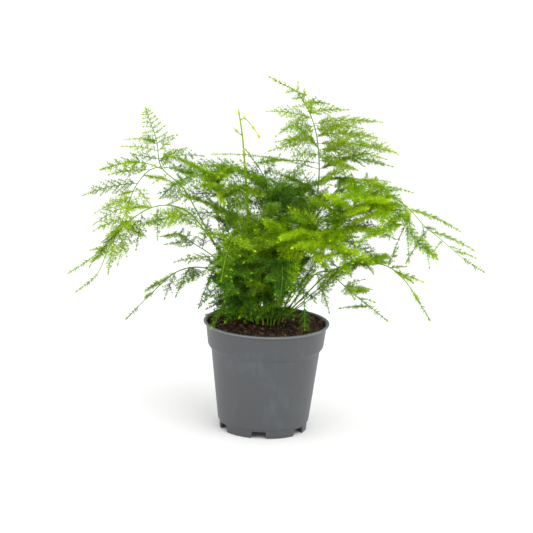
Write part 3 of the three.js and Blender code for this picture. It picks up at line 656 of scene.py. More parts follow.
def shape_of(piece):
    """The corners and triangles of a small modelled shape, whose object is then removed."""
    bpy.ops.object.mode_set(mode="OBJECT")
    mesh = piece.data
    mesh.calc_loop_triangles()
    corners = np.array([v.co for v in mesh.vertices])
    triangles = np.array([t.vertices for t in mesh.loop_triangles])
    bpy.data.objects.remove(piece)
    bpy.data.meshes.remove(mesh)
    return corners, triangles


def frames_for(ways, ups):
    """For each direction, the two directions square to it, of which the second leans towards ups."""
    ups = unit(ups - ways * np.sum(ups * ways, axis=1, keepdims=True))
    return np.cross(ups, ways), ups


class Shells:
    """Closed shells, gathered into one mesh. Each corner has a tone, from 0, dark, to 1, pale."""

    def __init__(self):
        self.corners, self.triangles, self.smooth, self.tones = [], [], [], []
        self.count = 0

    def add(self, corners, triangles, smooth, tones):
        """Adds a shell."""
        self.corners.append(corners)
        self.triangles.append(triangles + self.count)
        self.smooth.append(np.full(len(triangles), smooth))
        self.tones.append(np.broadcast_to(tones, len(corners)))
        self.count += len(corners)

    def stalk(self, line, over, radii, sides, tones):
        """A tapering stalk with a flat root and a pointed tip; its radii and tones run along its line."""
        ways = unit(np.gradient(line, axis=0))
        side, up = frames_for(ways, np.broadcast_to(over, ways.shape))
        shares = np.linspace(0, 1, len(line))
        radii = np.interp(shares, np.linspace(0, 1, len(radii)), radii)
        tones = np.interp(shares, np.linspace(0, 1, len(tones)), tones)
        turns = np.arange(sides) * 2 * math.pi / sides
        rim = np.cos(turns)[:, None] * side[:, None] + np.sin(turns)[:, None] * up[:, None]
        rings = line[:, None] + rim * radii[:, None, None]
        tip = line[-1] + ways[-1] * radii[-1]
        corners = np.vstack([rings.reshape(-1, 3), tip])
        tones = np.append(np.repeat(tones, sides), tones[-1])
        self.add(corners, stalk_triangles(len(line), sides), True, tones)

    def copies(self, shape, places, ways, ups, widths, lengths, tones, smooth=False):
        """Copies of a shape that stands along its own Z, each turned to its way. There is one tone for
        all copies, one for each, or one for each corner of each."""
        corners, triangles = shape
        side, up = frames_for(ways, ups)
        put = places[:, None] + (
            side[:, None] * (corners[:, 0:1] * widths[:, None, None])
            + up[:, None] * (corners[:, 1:2] * widths[:, None, None])
            + ways[:, None] * (corners[:, 2:3] * lengths[:, None, None])
        )
        shift = np.arange(len(places))[:, None, None] * len(corners)
        if np.ndim(tones) < 2:
            tones = np.repeat(np.broadcast_to(tones, len(places)), len(corners))
        self.add(put.reshape(-1, 3), (triangles[None] + shift).reshape(-1, 3), smooth, tones.ravel())

    def piece(self, name, material):
        """The finished piece, in metres, at the origin."""
        corners = np.vstack(self.corners) * MM
        triangles = np.vstack(self.triangles)
        mesh = bpy.data.meshes.new(name)
        mesh.vertices.add(len(corners))
        mesh.vertices.foreach_set("co", corners.astype(np.float32).ravel())
        mesh.loops.add(triangles.size)
        mesh.loops.foreach_set("vertex_index", triangles.astype(np.int32).ravel())
        mesh.polygons.add(len(triangles))
        mesh.polygons.foreach_set("loop_start", np.arange(0, triangles.size, 3, dtype=np.int32))
        mesh.polygons.foreach_set("use_smooth", np.concatenate(self.smooth))
        tone = mesh.attributes.new("tone", "FLOAT", "POINT")
        tone.data.foreach_set("value", np.concatenate(self.tones).astype(np.float32))
        mesh.update(calc_edges=True)
        if mesh.validate():
            raise RuntimeError(f"{name} has a faulty mesh")
        mesh.materials.append(material)
        return put_in_scene(name, mesh)


def stalk_triangles(rings, sides):
    """The triangles of a stalk: its sides, its root and its tip."""
    found = []
    for i in range(rings - 1):
        for j in range(sides):
            a, b = i * sides + j, i * sides + (j + 1) % sides
            found += [(a, b, b + sides), (a, b + sides, a + sides)]
    found += [(0, j + 1, j) for j in range(1, sides - 1)]
    last = (rings - 1) * sides
    found += [(last + j, last + (j + 1) % sides, rings * sides) for j in range(sides)]
    return np.array(found)


def dress(piece, node, slot):
    """Puts a finished piece in the place of its node in the frame."""
    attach(piece, "root")
    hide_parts(node)


# ------------------------------------------------------------------ materials


def new_material(name, specular, roughness=0.5):
    """A material with a Principled shader; gives the material, its tree and the shader."""
    material = bpy.data.materials.new(name)
    material.use_nodes = True
    tree = material.node_tree
    shader = tree.nodes["Principled BSDF"]
    shader.inputs["Specular IOR Level"].default_value = specular
    shader.inputs["Roughness"].default_value = roughness
    return material, tree, shader


def feed(tree, socket, value):
    """Gives an input a value, or links another node's output to it."""
    if isinstance(value, bpy.types.NodeSocket):
        tree.links.new(value, socket)
    else:
        socket.default_value = value


def add_node(tree, kind, inputs=None, **settings):
    """Adds a node, sets its settings, and fills its inputs with values or with other nodes' outputs."""
    node = tree.nodes.new(kind)
    for key, value in settings.items():
        setattr(node, key, value)
    for key, value in (inputs or {}).items():
        feed(tree, node.inputs[key], value)
    return node


def ramp(tree, fac, stops):
    """A colour ramp through (place, colour) stops."""
    node = add_node(tree, "ShaderNodeValToRGB", {"Fac": fac})
    elements = node.color_ramp.elements
    while len(elements) < len(stops):
        elements.new(0.5)
    for element, (place, colour) in zip(elements, stops):
        element.position = place
        element.color = (*colour, 1)
    return node.outputs["Color"]


def noise(tree, where, scale, detail=3.0, roughness=0.55):
    """The value of a noise pattern."""
    inputs = {"Vector": where, "Scale": scale, "Detail": detail, "Roughness": roughness}
    return add_node(tree, "ShaderNodeTexNoise", inputs).outputs["Fac"]


def bump(tree, height, distance):
    """A bump from a height pattern, whose distance is in metres."""
    inputs = {"Height": height, "Distance": distance}
    return add_node(tree, "ShaderNodeBump", inputs).outputs["Normal"]


def maths(tree, operation, *values):
    """The result of a sum or another operation on one, two or three values."""
    node = add_node(tree, "ShaderNodeMath", operation=operation)
    for socket, value in zip(node.inputs, values):
        feed(tree, socket, value)
    return node.outputs["Value"]


def swing(tree, value, middle, amount):
    """How far a value lies from its middle, times an amount."""
    return maths(tree, "MULTIPLY", maths(tree, "SUBTRACT", value, middle), amount)


def mix(tree, fac, a, b):
    """A mix of two colours; either may be a setting."""
    a, b = (c if isinstance(c, bpy.types.NodeSocket) else (*c, 1) for c in (a, b))
    return add_node(tree, "ShaderNodeMix", {0: fac, 6: a, 7: b}, data_type="RGBA").outputs[2]


def radius_and_height(tree, where):
    """How far a place is from the pot's axis, and how high."""
    level = add_node(tree, "ShaderNodeMapping", {"Vector": where, "Scale": (1, 1, 0)}).outputs["Vector"]
    radius = add_node(tree, "ShaderNodeVectorMath", {0: level}, operation="LENGTH").outputs["Value"]
    return radius, add_node(tree, "ShaderNodeSeparateXYZ", {"Vector": where}).outputs["Z"]


def painted_lip_highlight(tree, where):
    """How much paler the lip is painted, and unevenly: a painted highlight on its top and outer edge only.
    """
    radius, height = radius_and_height(tree, where)
    is_outer = maths(tree, "GREATER_THAN", radius, LIP_HIGHLIGHT["radius"] * MM)
    is_high = maths(tree, "GREATER_THAN", height, LIP_HIGHLIGHT["from_height"] * MM)
    amount = maths(tree, "MULTIPLY_ADD", noise(tree, where, 90, 3), 0.5, 0.45)
    return maths(tree, "MULTIPLY", maths(tree, "MULTIPLY", is_outer, is_high), amount)


def soil_stain_and_shade(tree, where):
    """How dark all of the inner wall under the lip is painted, in uneven patches: partly soil that sticks
    to the plastic, partly painted shade inside the pot.
    """
    radius, height = radius_and_height(tree, where)
    patch = swing(tree, noise(tree, where, 300, 3), 0.5, 1.6 * MM)
    is_inner = maths(tree, "LESS_THAN", radius, STAIN_AND_SHADE["radius"] * MM)
    is_high = maths(tree, "GREATER_THAN", height, STAIN_AND_SHADE["from_height"] * MM)
    is_low = maths(tree, "LESS_THAN", maths(tree, "ADD", height, patch), STAIN_AND_SHADE["to_height"] * MM)
    amount = maths(tree, "MULTIPLY_ADD", is_low, 0.7, 0.2)
    return maths(tree, "MULTIPLY", maths(tree, "MULTIPLY", is_inner, is_high), amount)


def plastic_material(settings):
    """Matt moulded plastic: a fine grain, faint clouds, rubbed patches and thin upright streaks, a painted
    highlight on the lip, and an inner wall painted dark, partly by soil that sticks there and partly as
    painted shade.
    """
    material, tree, shader = new_material("moulded_plastic", specular=0.45)
    where = add_node(tree, "ShaderNodeTexCoord").outputs["Object"]
    upright = add_node(tree, "ShaderNodeMapping", {"Vector": where, "Scale": (1, 1, 0.12)})
    clouds = noise(tree, where, 26, 4)
    streaks = noise(tree, upright.outputs["Vector"], 340, 2)
    rubbed = maths(tree, "ADD", swing(tree, clouds, 0.5, 1.3), swing(tree, streaks, 0.6, 0.5))
    rubbed = add_node(tree, "ShaderNodeClamp", {"Value": rubbed, "Min": 0.0, "Max": 0.7}).outputs["Result"]
    colour = mix(tree, rubbed, settings.plastic, settings.scuff)
    # Painted highlight on the lip.
    colour = mix(tree, painted_lip_highlight(tree, where), colour, settings.lip)
    # Soil that sticks to the inner wall, and painted shade there.
    colour = mix(tree, soil_stain_and_shade(tree, where), colour, settings.stain_and_shade)
    tree.links.new(colour, shader.inputs["Base Color"])
    rough = maths(tree, "MULTIPLY_ADD", clouds, 0.16, settings.roughness - 0.08)
    tree.links.new(rough, shader.inputs["Roughness"])
    grain = maths(tree, "ADD", noise(tree, where, 1500, 2), maths(tree, "MULTIPLY", streaks, 0.5))
    tree.links.new(bump(tree, grain, 0.00006), shader.inputs["Normal"])
    return material


def soil_material(settings):
    """Moist peat with crumbs of bark and pale specks, told apart by tone."""
    material, tree, shader = new_material("peat_soil", specular=0.3, roughness=0.86)
    where = add_node(tree, "ShaderNodeTexCoord").outputs["Object"]
    tone = add_node(tree, "ShaderNodeAttribute", attribute_name="tone").outputs["Fac"]
    fine = noise(tree, where, 900, 5, 0.65)
    coarse = noise(tree, where, 210, 4, 0.6)
    spread = maths(tree, "ADD", swing(tree, fine, 0.5, 0.5), swing(tree, coarse, 0.5, 0.7))
    fac = maths(tree, "ADD", tone, spread)
    peat, bark, grit = (tuple(c) for c in (settings.peat, settings.bark, settings.grit))
    black = tuple(0.3 * c for c in peat)
    colour = ramp(tree, fac, [(0.02, black), (0.3, peat), (0.62, bark), (1.0, grit)])
    tree.links.new(colour, shader.inputs["Base Color"])
    height = maths(tree, "ADD", fine, coarse)
    tree.links.new(bump(tree, height, 0.0009), shader.inputs["Normal"])
    return material


# Colours of each finish of foliage, from 0 to 255: deep inside, in the middle, and at young tips. The deep
# colour, and the still darker one that the shader puts below it, are partly painted shade.
FINISHES = {
    "young": ("foliage_young", (108, 154, 4), (162, 204, 6), (204, 230, 44)),
    "fresh": ("foliage_fresh", (110, 154, 16), (166, 202, 24), (200, 222, 60)),
    "leafy": ("foliage_mid", (72, 120, 22), (128, 176, 34), (174, 208, 62)),
    "shaded": ("foliage_shaded", (90, 128, 34), (144, 180, 56), (184, 208, 84)),
}


def foliage_material(finish, settings):
    """Needles and stems: their tone runs from deep green to young tips, and light shines through. Low tones
    are partly painted shade and high ones partly painted light.
    """
    slot, deep, middle, tip = FINISHES[finish]
    material, tree, shader = new_material(slot, specular=0.12, roughness=0.55)
    where = add_node(tree, "ShaderNodeTexCoord").outputs["Object"]
    tone = add_node(tree, "ShaderNodeAttribute", attribute_name="tone").outputs["Fac"]
    fac = maths(tree, "ADD", tone, swing(tree, noise(tree, where, 38, 2), 0.5, 0.5))
    deepest = [0.7 * c for c in deep]
    stops = [(0.0, deepest), (0.25, deep), (0.6, middle), (1.0, tip)]
    colour = ramp(tree, fac, [(place, linear(shade)) for place, shade in stops])
    tree.links.new(colour, shader.inputs["Base Color"])
    through = add_node(tree, "ShaderNodeBsdfTranslucent", {"Color": colour})
    both = add_node(tree, "ShaderNodeMixShader", {0: settings.light})
    tree.links.new(shader.outputs["BSDF"], both.inputs[1])
    tree.links.new(through.outputs["BSDF"], both.inputs[2])
    tree.links.new(both.outputs["Shader"], tree.nodes["Material Output"].inputs["Surface"])
    return material


# ------------------------------------------------------------------ pot


def select_ring(mesh, radius, height, reach=0.00002):
    """In edit mode, selects only the edges of the ring at a radius and height."""
    layer = bmesh.from_edit_mesh(mesh)

    def is_on(v):
        return abs(math.hypot(v.co.x, v.co.y) - radius) < reach and abs(v.co.z - height) < reach

    for part in (*layer.verts, *layer.faces):
        part.select = False
    for edge in layer.edges:
        edge.select = all(is_on(v) for v in edge.verts)
    layer.select_flush_mode()
    bmesh.update_edit_mesh(mesh)


def turned_shell(section, sides):
    """A closed shell raised ring by ring from a disc, through corners given as radius and height."""
    start_clean()
    radius, height = section[0][:2]
    bpy.ops.mesh.primitive_circle_add(
        vertices=sides, radius=radius * MM, fill_type="NGON", location=(0, 0, height * MM)
    )
    shell = bpy.context.object
    bpy.ops.object.transform_apply(location=True)
    bpy.ops.object.mode_set(mode="EDIT")
    bpy.ops.mesh.select_mode(type="EDGE")
    bpy.ops.mesh.select_all(action="SELECT")
    for (r0, z0, *_), (r1, z1, *_) in zip(section, section[1:]):
        bpy.ops.mesh.extrude_edges_move(TRANSFORM_OT_translate={"value": (0, 0, (z1 - z0) * MM)})
        bpy.ops.transform.resize(value=(r1 / r0, r1 / r0, 1), center_override=(0, 0, z1 * MM))
    bpy.ops.mesh.edge_face_add()
    return shell


def round_corners(shell, section):
    """Rounds off the corners of a shell that is in edit mode."""
    for radius, height, rounding in section:
        if rounding:
            select_ring(shell.data, radius * MM, height * MM)
            bpy.ops.mesh.bevel(
                offset=rounding * MM, segments=ROUNDING_STEPS, affect="EDGES", clamp_overlap=True
            )


def notch_cutter(turn):
    """A wedge that cuts one notch out of the foot ring, and a drum that cuts the drain hole behind it."""
    start_clean()
    bpy.ops.mesh.primitive_cube_add(size=1)
    wedge = bpy.context.object
    size = Vector((WEDGE["length"], NOTCH["top_width"], NOTCH["height"] + WEDGE["below"]))
    wedge.scale = size * MM
    wedge.location = (WEDGE["from_axis"] * MM, 0, (NOTCH["height"] - WEDGE["below"]) / 2 * MM)
    bpy.ops.object.transform_apply(location=True, scale=True)
    bpy.ops.object.mode_set(mode="EDIT")
    layer = bmesh.from_edit_mesh(wedge.data)
    for v in layer.verts:
        if v.co.z < 0:
            v.co.y *= NOTCH["foot_width"] / NOTCH["top_width"]
    bmesh.update_edit_mesh(wedge.data)
    bpy.ops.mesh.select_all(action="SELECT")
    bpy.ops.mesh.bevel(offset=WEDGE["rounding"] * MM, segments=2, affect="EDGES")
    bpy.ops.object.mode_set(mode="OBJECT")
    bpy.ops.mesh.primitive_cylinder_add(
        vertices=DRAIN["sides"], radius=DRAIN["radius"] * MM, depth=DRAIN["depth"] * MM,
        location=(DRAIN["from_axis"] * MM, 0, DRAIN["height"] * MM),
    )
    pick(bpy.context.object, wedge)
    bpy.ops.object.join()
    wedge.rotation_euler = (0, 0, turn)
    bpy.ops.object.transform_apply(location=True, rotation=True)
    return wedge


def model_pot(settings):
    """The pot: a moulded shell with a lip, a collar, a tapered body and a notched foot ring."""
    pot = turned_shell(POT_SECTION, settings.sides)
    round_corners(pot, POT_SECTION)
    turn_outward()
    pot.name = pot.data.name = "pot_moulded"
    for i in range(NOTCH["count"]):
        cutter = notch_cutter(math.radians(NOTCH["first_deg"] + 360 / NOTCH["count"] * i))
        cut = pot.modifiers.new(f"notch_{i}", "BOOLEAN")
        cut.object = cutter
        cut.solver = "EXACT"
        apply_all(pot)
        bpy.data.objects.remove(cutter)
    pick(pot)
    bpy.ops.object.shade_smooth_by_angle(angle=math.radians(30))
    pot.data.materials.clear()
    pot.data.materials.append(plastic_material(settings))
    return pot


# ------------------------------------------------------------------ soil


def crumb_shape(seed):
    """A small uneven lump, modelled once."""
    start_clean()
    bpy.ops.mesh.primitive_ico_sphere_add(subdivisions=1, radius=1)
    crumb = bpy.context.object
    bpy.ops.object.mode_set(mode="EDIT")
    bpy.ops.transform.vertex_random(offset=0.35, uniform=0.4, seed=seed)
    return shape_of(crumb)


def fibre_shape():
    """A short splinter, modelled once: a bent four-sided stick."""
    start_clean()
    bpy.ops.mesh.primitive_cylinder_add(vertices=4, radius=1, depth=1)
    fibre = bpy.context.object
    bpy.ops.object.mode_set(mode="EDIT")
    bpy.ops.transform.vertex_random(offset=0.2, uniform=0.3, seed=3)
    return shape_of(fibre)


def model_soil(settings):
    """The soil: a lumpy body that fills the pot, with loose crumbs and fibres on top."""
    rings, sides = SOIL_SURFACE["rings"], SOIL_SURFACE["sides"]
    edge_radius, edge_height = SOIL_SECTION[-1]
    edge_height += SOIL_LOOSE
    shares = [1 - i / rings for i in range(1, rings)]
    crown = SOIL_CROWN + SOIL_LOOSE / 2
    top = [(edge_radius * s, edge_height + (crown - edge_height) * (1 - s * s)) for s in shares]
    body = turned_shell(SOIL_SECTION[:-1] + [(edge_radius, edge_height)] + top, sides)
    turn_outward()
    lumps = body.vertex_groups.new(name="top")
    lumps.add([v.index for v in body.data.vertices if v.co.z > (edge_height + 0.01) * MM], 1.0, "REPLACE")
    for name, size, share in SOIL_LUMPS:
        pattern = bpy.data.textures.new(name, "CLOUDS")
        pattern.noise_scale = size * MM
        pattern.noise_depth = 2
        lift = body.modifiers.new(name, "DISPLACE")
        lift.texture = pattern
        lift.texture_coords = "LOCAL"
        lift.direction = "Z"
        lift.mid_level = 0.5
        lift.strength = settings.relief * share
        lift.vertex_group = lumps.name
    apply_all(body)
    surface = BVHTree.FromObject(body, bpy.context.evaluated_depsgraph_get())
    corners, triangles = shape_of(body)
    soil = Shells()
    soil.add(corners / MM, triangles, False, SOIL_SURFACE["tone"])
    rng = np.random.default_rng(SOIL_SURFACE["seed"])
    for kind in range(CRUMBS["kinds"]):
        add_crumbs(soil, crumb_shape(kind + 1), surface, settings.crumbs // CRUMBS["kinds"], rng)
    add_fibres(soil, fibre_shape(), surface, settings.fibres, rng)
    return soil.piece("soil_crumbly", soil_material(settings))


def places_on(surface, count, radius, rng):
    """Random places on the soil, in millimetres."""
    turn = rng.uniform(0, 2 * math.pi, count)
    out = radius * np.sqrt(rng.uniform(0, 1, count))
    places = np.stack([out * np.cos(turn), out * np.sin(turn), np.full(count, DROP_FROM)], axis=1)
    for place in places:
        hit = surface.ray_cast(Vector(place) * MM, Vector((0, 0, -1)))[0]
        place[2] = hit.z / MM
    return places


def add_crumbs(soil, shape, surface, count, rng):
    """Crumbs of peat and bark, half sunk, with a few pale specks among them."""
    sizes = np.clip(rng.lognormal(*CRUMBS["size"], count), *CRUMBS["sizes"])
    places = places_on(surface, count, CRUMBS["out_to"], rng)
    tones = np.clip(rng.normal(*CRUMBS["tone"], count), *CRUMBS["tones"])
    is_bark = rng.uniform(size=count) < BARK["share"]
    tones = np.where(is_bark, rng.uniform(*BARK["tones"], count), tones)
    specks = rng.uniform(size=count) < SPECKS["share"]
    tones[specks] = rng.uniform(*SPECKS["tones"], specks.sum())
    sizes[specks] *= SPECKS["size"]
    ways = unit(rng.normal(size=(count, 3)))
    ups = rng.normal(size=(count, 3))
    places[:, 2] += CRUMBS["out"] * sizes
    soil.copies(shape, places, ways, ups, sizes, sizes * rng.uniform(*CRUMBS["flat"], count), tones)


def add_fibres(soil, shape, surface, count, rng):
    """Splinters and root threads that lie flat on the soil."""
    places = places_on(surface, count, FIBRES["out_to"], rng)
    turn = rng.uniform(0, 2 * math.pi, count)
    tilt = rng.uniform(-FIBRES["tilt"], FIBRES["tilt"], count)
    ways = unit(np.stack([np.cos(turn), np.sin(turn), tilt], axis=1))
    widths, lengths, tones = (rng.uniform(*FIBRES[key], count) for key in ("widths", "lengths", "tones"))
    places[:, 2] += FIBRES["above"]
    soil.copies(shape, places, ways, np.broadcast_to(UP, ways.shape), widths, lengths, tones)


# ------------------------------------------------------------------ foliage

# Radii, and tones from 0, dark, to 1, pale, run along a stalk from its root to its tip. Its sides are the
# faces round it.
STEM_RADII = (0.85, 0.75, 0.6, 0.36)
BARE_RADII = (1.15, 1.15, 1.0, 0.72)  # the shoot that has no needles yet
ARM_RADII = (0.55, 0.34)
SIDE_STEM_RADII = (0.6, 0.5, 0.36, 0.22)
SPRAY_RADII = (0.4, 0.26)
TWIG_RADII = (0.3, 0.2)
SIDES = {"stem": 8, "side_stem": 6, "spray": 5, "twig": 3}
STEM_TONES = (0.5, 0.4, 0.35, 0.45)
BARE_TONES = (0.3, 0.35, 0.4, 0.6)
TONE = 0.5  # of a frond, unless the table says more
LEAST_TONE = 0.12  # no spray is darker
TONE_SPREAD = {"spray": 0.14, "twig": 0.06, "needle": 0.07}  # how much their tones differ
DARKER = 0.05  # by how much a stalk is darker than its needles, and a stem's tip than its sprays
YOUNG_TONE = {"over": 8, "paler": 0.08}  # nearer than this to a tip, needles get paler, by this much

# Buds: their sizes, how far they sink into what they grow on, and their tones, which are their shoot's
# times a number, and a little more.
BUD = {
    "width": 1.3, "length": 2.7, "sunk": 0.8, "sizes": (0.7, 1.05), "like_shoot": 1.4, "tones": (0, 0.2),
}
BUD_RINGS = {"upper": (0.8, 0.66), "lower": (1.15, 0.3)}  # how wide, against a ball, and how high up
SHOOT_BUD = {"width": 3.2, "length": 6.0, "sunk": 2.4, "tone": 0.95}
BUD_SHARE = 0.5  # the share of a spray's twigs that end in a bud
TIP_BUD = 1.5  # how much larger the buds of sprays, of stems and of the twigs at a stem's tip are

TWIG_BARE = 0.04  # the share of a twig, and of a spray, that has no needles
SPRAY_BARE = 0.06
LONGEST_TWIG = 22.0
LEAST_TWIG = 2.4  # a shorter one is left out
TWIG_OPENING_DEG = (44, 60)
FIRST_TWIG = 1.5  # from the start of a spray
TWIG_END = {"share": 0.6, "more": 3.0}  # no twig is longer than this share of what is left, and so much
TWIG_BEND = {"over": 9.0, "ahead": 0.25, "down": 0.05}  # a longer twig bends, ahead and down
TWIG_STRAY = 0.12  # how far twigs leave the plane of what carries them
LEVEL = 0.3  # how far a spray's own plane is turned level: 0 not at all, 1 fully
LEVEL_LEAN = 0.3  # and how much that level plane leans towards the spray's tip
BROAD = 0.38  # the longest twigs of a spray, as a share of its length
SPRAY_TIP = 8.0  # how much of a spray's tip has no twigs

# The tip of a stem, unless the table says more: over how many mm it has short twigs, and over how many of
# them it is plain; the twigs' gap, the degrees that they open, and the longest; and how much longer and
# farther apart its own needles are than those elsewhere.
FEATHER = 45.0
PLAIN_TIP = 6.0
COMB = (5.0, 65, 12.0)
TIP_NEEDLE = 1.25
TIP_FINE = 1.1
# Towards the end of it those twigs get shorter, by a share of what is left there and a little more, and
# closer, by what is left over a length and a little more.
COMB_GROWTH = {"share": 0.36, "more": 1.6, "over": 40, "closest": 0.4, "stray_deg": 6}
COMB_FINE = 0.8  # how far apart their needles are, as a share of the usual
TIP_FLAT = (0.0, -0.5, 0.86)  # where the flat side of a stem's tip faces
YOUNG_TIP = 9.0  # needles are short nearer than this to a stem's tip
YOUNG = 5.0  # and nearer than this to any other tip
YOUNG_SIZE = 0.65  # of the needles at the very tip

# Thin stems beside a stem: how many, how far above the soil they fork off, to which share of it they
# reach, how far aside they end, and from which shares of their own they have needles and twigs.
SIDE_STEMS = {
    "count": 2, "above_soil": 4.0, "to_share": (0.36, 0.52), "aside": (5.0, 12.0),
    "bare": 0.4, "twigs_from": 0.5, "tone": 0.35, "broad": 0.3,
}
SINGLE_STEMS = ("shoot_bare", "frond_hanging", "frond_left_tall", "frond_left_low")  # have no side stems

# A whorl's core is measured in needle lengths. Its needles stand as far aside and as far open as the next
# rows say, and differ in length.
WHORL = {"kinds": 6, "seed": 7, "radius": 0.057, "half_width": 0.026}
NEEDLE_TURN_DEG = {"front": (10, 60), "side": (-25, 25)}
NEEDLE_OPENING_DEG = {"front": (44, 62), "side": (58, 76)}
NEEDLE_LENGTHS = (0.75, 1.05)
# How far whorls are turned about their shoot, at most: where a stem's tip has a facing, and elsewhere.
FACING_ROLL = math.radians(30)
ROLL = math.radians(60)
NEEDLE_ROOT_SHADE = 0.4  # painted shade: how much paler a needle is at its tip than at its darker root
NEEDLE_SIZES = {"young": 1.1, "fresh": 0.95, "leafy": 1.0, "shaded": 0.95}  # shares of the setting

# Places that foliage fills, as seen from the front and a little above: from x, to x, from height, to
# height, and how steeply its sprays rise there, from and to.
PLACES = {
    "heart": (-48, 30, 120, 248, 0.0, 0.35),
    "low left": (-58, -15, 106, 172, -0.5, 0.3),
    "skirt": (-54, -15, 105, 140, -1.0, -0.2),
    "right": (0, 124, 162, 244, 0.0, 0.35),
    "upper left": (-95, -36, 205, 258, 0.0, 0.35),
    "left": (-152, -86, 168, 256, 0.0, 0.35),
    "upper right": (46, 116, 248, 290, 0.0, 0.3),
    "low right": (54, 114, 106, 168, 0.0, 0.35),
    "low middle": (-14, 27, 109, 152, -0.3, 0.4),
}
PLACE_EDGE = 7.0  # how unevenly those places end
SIGHT_SLOPE = 0.238  # from there, how much lower a thing looks for each mm that it is nearer

# Sprays that fill them, in every direction: the last share of an axis that has one, how far they lean
# ahead, how fast they bend down, per mm, and how far their planes stray. For each axis of a frond: the
# place, how many sprays, from and to which share of the axis, the longest, and the tone.
FILL_SPRAY = {"last_share": 0.97, "ahead": 0.5, "droop": 0.007, "stray": 0.15}
GOLDEN_TURN = math.radians(137.5)  # from one of them to the next
# Their tones are partly painted shade and light: lowest for sprays low down and deep in the heart, highest
# for those at the top and out at the sides.
FILL = {
    ("frond_low_left", 0): [
        ("low left", 20, 0.12, 0.7, 46, 0.15), ("heart", 8, 0.5, 1.0, 34, 0.4),
        ("skirt", 14, 0.2, 0.8, 34, 0.2),
    ],
    ("frond_centre_left", 0): [
        ("heart", 18, 0.16, 0.5, 48, 0.1), ("heart", 12, 0.5, 0.95, 44, 0.2),
        ("upper left", 12, 0.5, 0.9, 50, 0.35),
    ],
    ("frond_centre_back", 0): [
        ("heart", 16, 0.15, 0.5, 52, 0.1), ("heart", 24, 0.45, 0.95, 50, 0.58),
        ("upper left", 8, 0.6, 0.95, 60, 0.6),
    ],
    ("frond_front", 0): [
        ("heart", 12, 0.2, 0.6, 44, 0.1), ("skirt", 12, 0.16, 0.5, 34, 0.15),
        ("low middle", 9, 0.05, 0.3, 26, 0.25),
    ],
    ("frond_low_front", 0): [
        ("heart", 14, 0.25, 0.7, 42, 0.15), ("low middle", 9, 0.06, 0.35, 26, 0.2),
    ],
    ("frond_front_bright", 0): [
        ("heart", 12, 0.25, 0.55, 42, 0.1), ("right", 18, 0.5, 1.0, 46, 0.5),
    ],
    ("frond_left_low", 0): [
        ("low left", 14, 0.05, 0.22, 46, 0.1), ("skirt", 8, 0.06, 0.2, 34, 0.2),
        ("left", 5, 0.55, 0.85, 34, 0.5),
    ],
    ("frond_left_tall", 0): [("low left", 12, 0.05, 0.22, 46, 0.1)],
    ("frond_left_tall", 1): [("left", 6, 0.1, 0.75, 34, 0.6)],
    ("frond_right_tall", 0): [
        ("heart", 12, 0.12, 0.5, 48, 0.25), ("right", 8, 0.4, 0.62, 60, 0.35),
        ("upper right", 14, 0.6, 0.8, 56, 0.6),
    ],
    ("frond_right_tall", 1): [("right", 14, 0.0, 0.6, 46, 0.45)],
    ("frond_right_front", 0): [("heart", 6, 0.2, 0.4, 44, 0.3), ("right", 26, 0.4, 0.85, 54, 0.5)],
    ("frond_right_low", 0): [
        ("right", 12, 0.4, 0.85, 44, 0.35), ("low right", 4, 0.5, 0.9, 30, 0.35),
        ("low middle", 6, 0.04, 0.2, 26, 0.2),
    ],
    ("frond_right_back_low", 0): [("low right", 5, 0.45, 0.9, 30, 0.4)],
    ("frond_hanging", 0): [("low middle", 7, 0.05, 0.3, 24, 0.3)],
    ("frond_back", 0): [
        ("heart", 14, 0.2, 0.7, 54, 0.35), ("right", 6, 0.3, 0.7, 60, 0.25),
        ("low middle", 9, 0.05, 0.25, 28, 0.2),
    ],
    ("frond_back_left", 0): [("heart", 8, 0.2, 0.5, 46, 0.15), ("upper left", 6, 0.4, 0.8, 46, 0.3)],
    ("frond_back_right", 0): [("right", 12, 0.2, 0.7, 50, 0.25)],
    ("frond_left_back", 0): [("low left", 8, 0.1, 0.4, 42, 0.15)],
    ("frond_left_back_low", 0): [("low left", 12, 0.05, 0.35, 42, 0.15)],
}

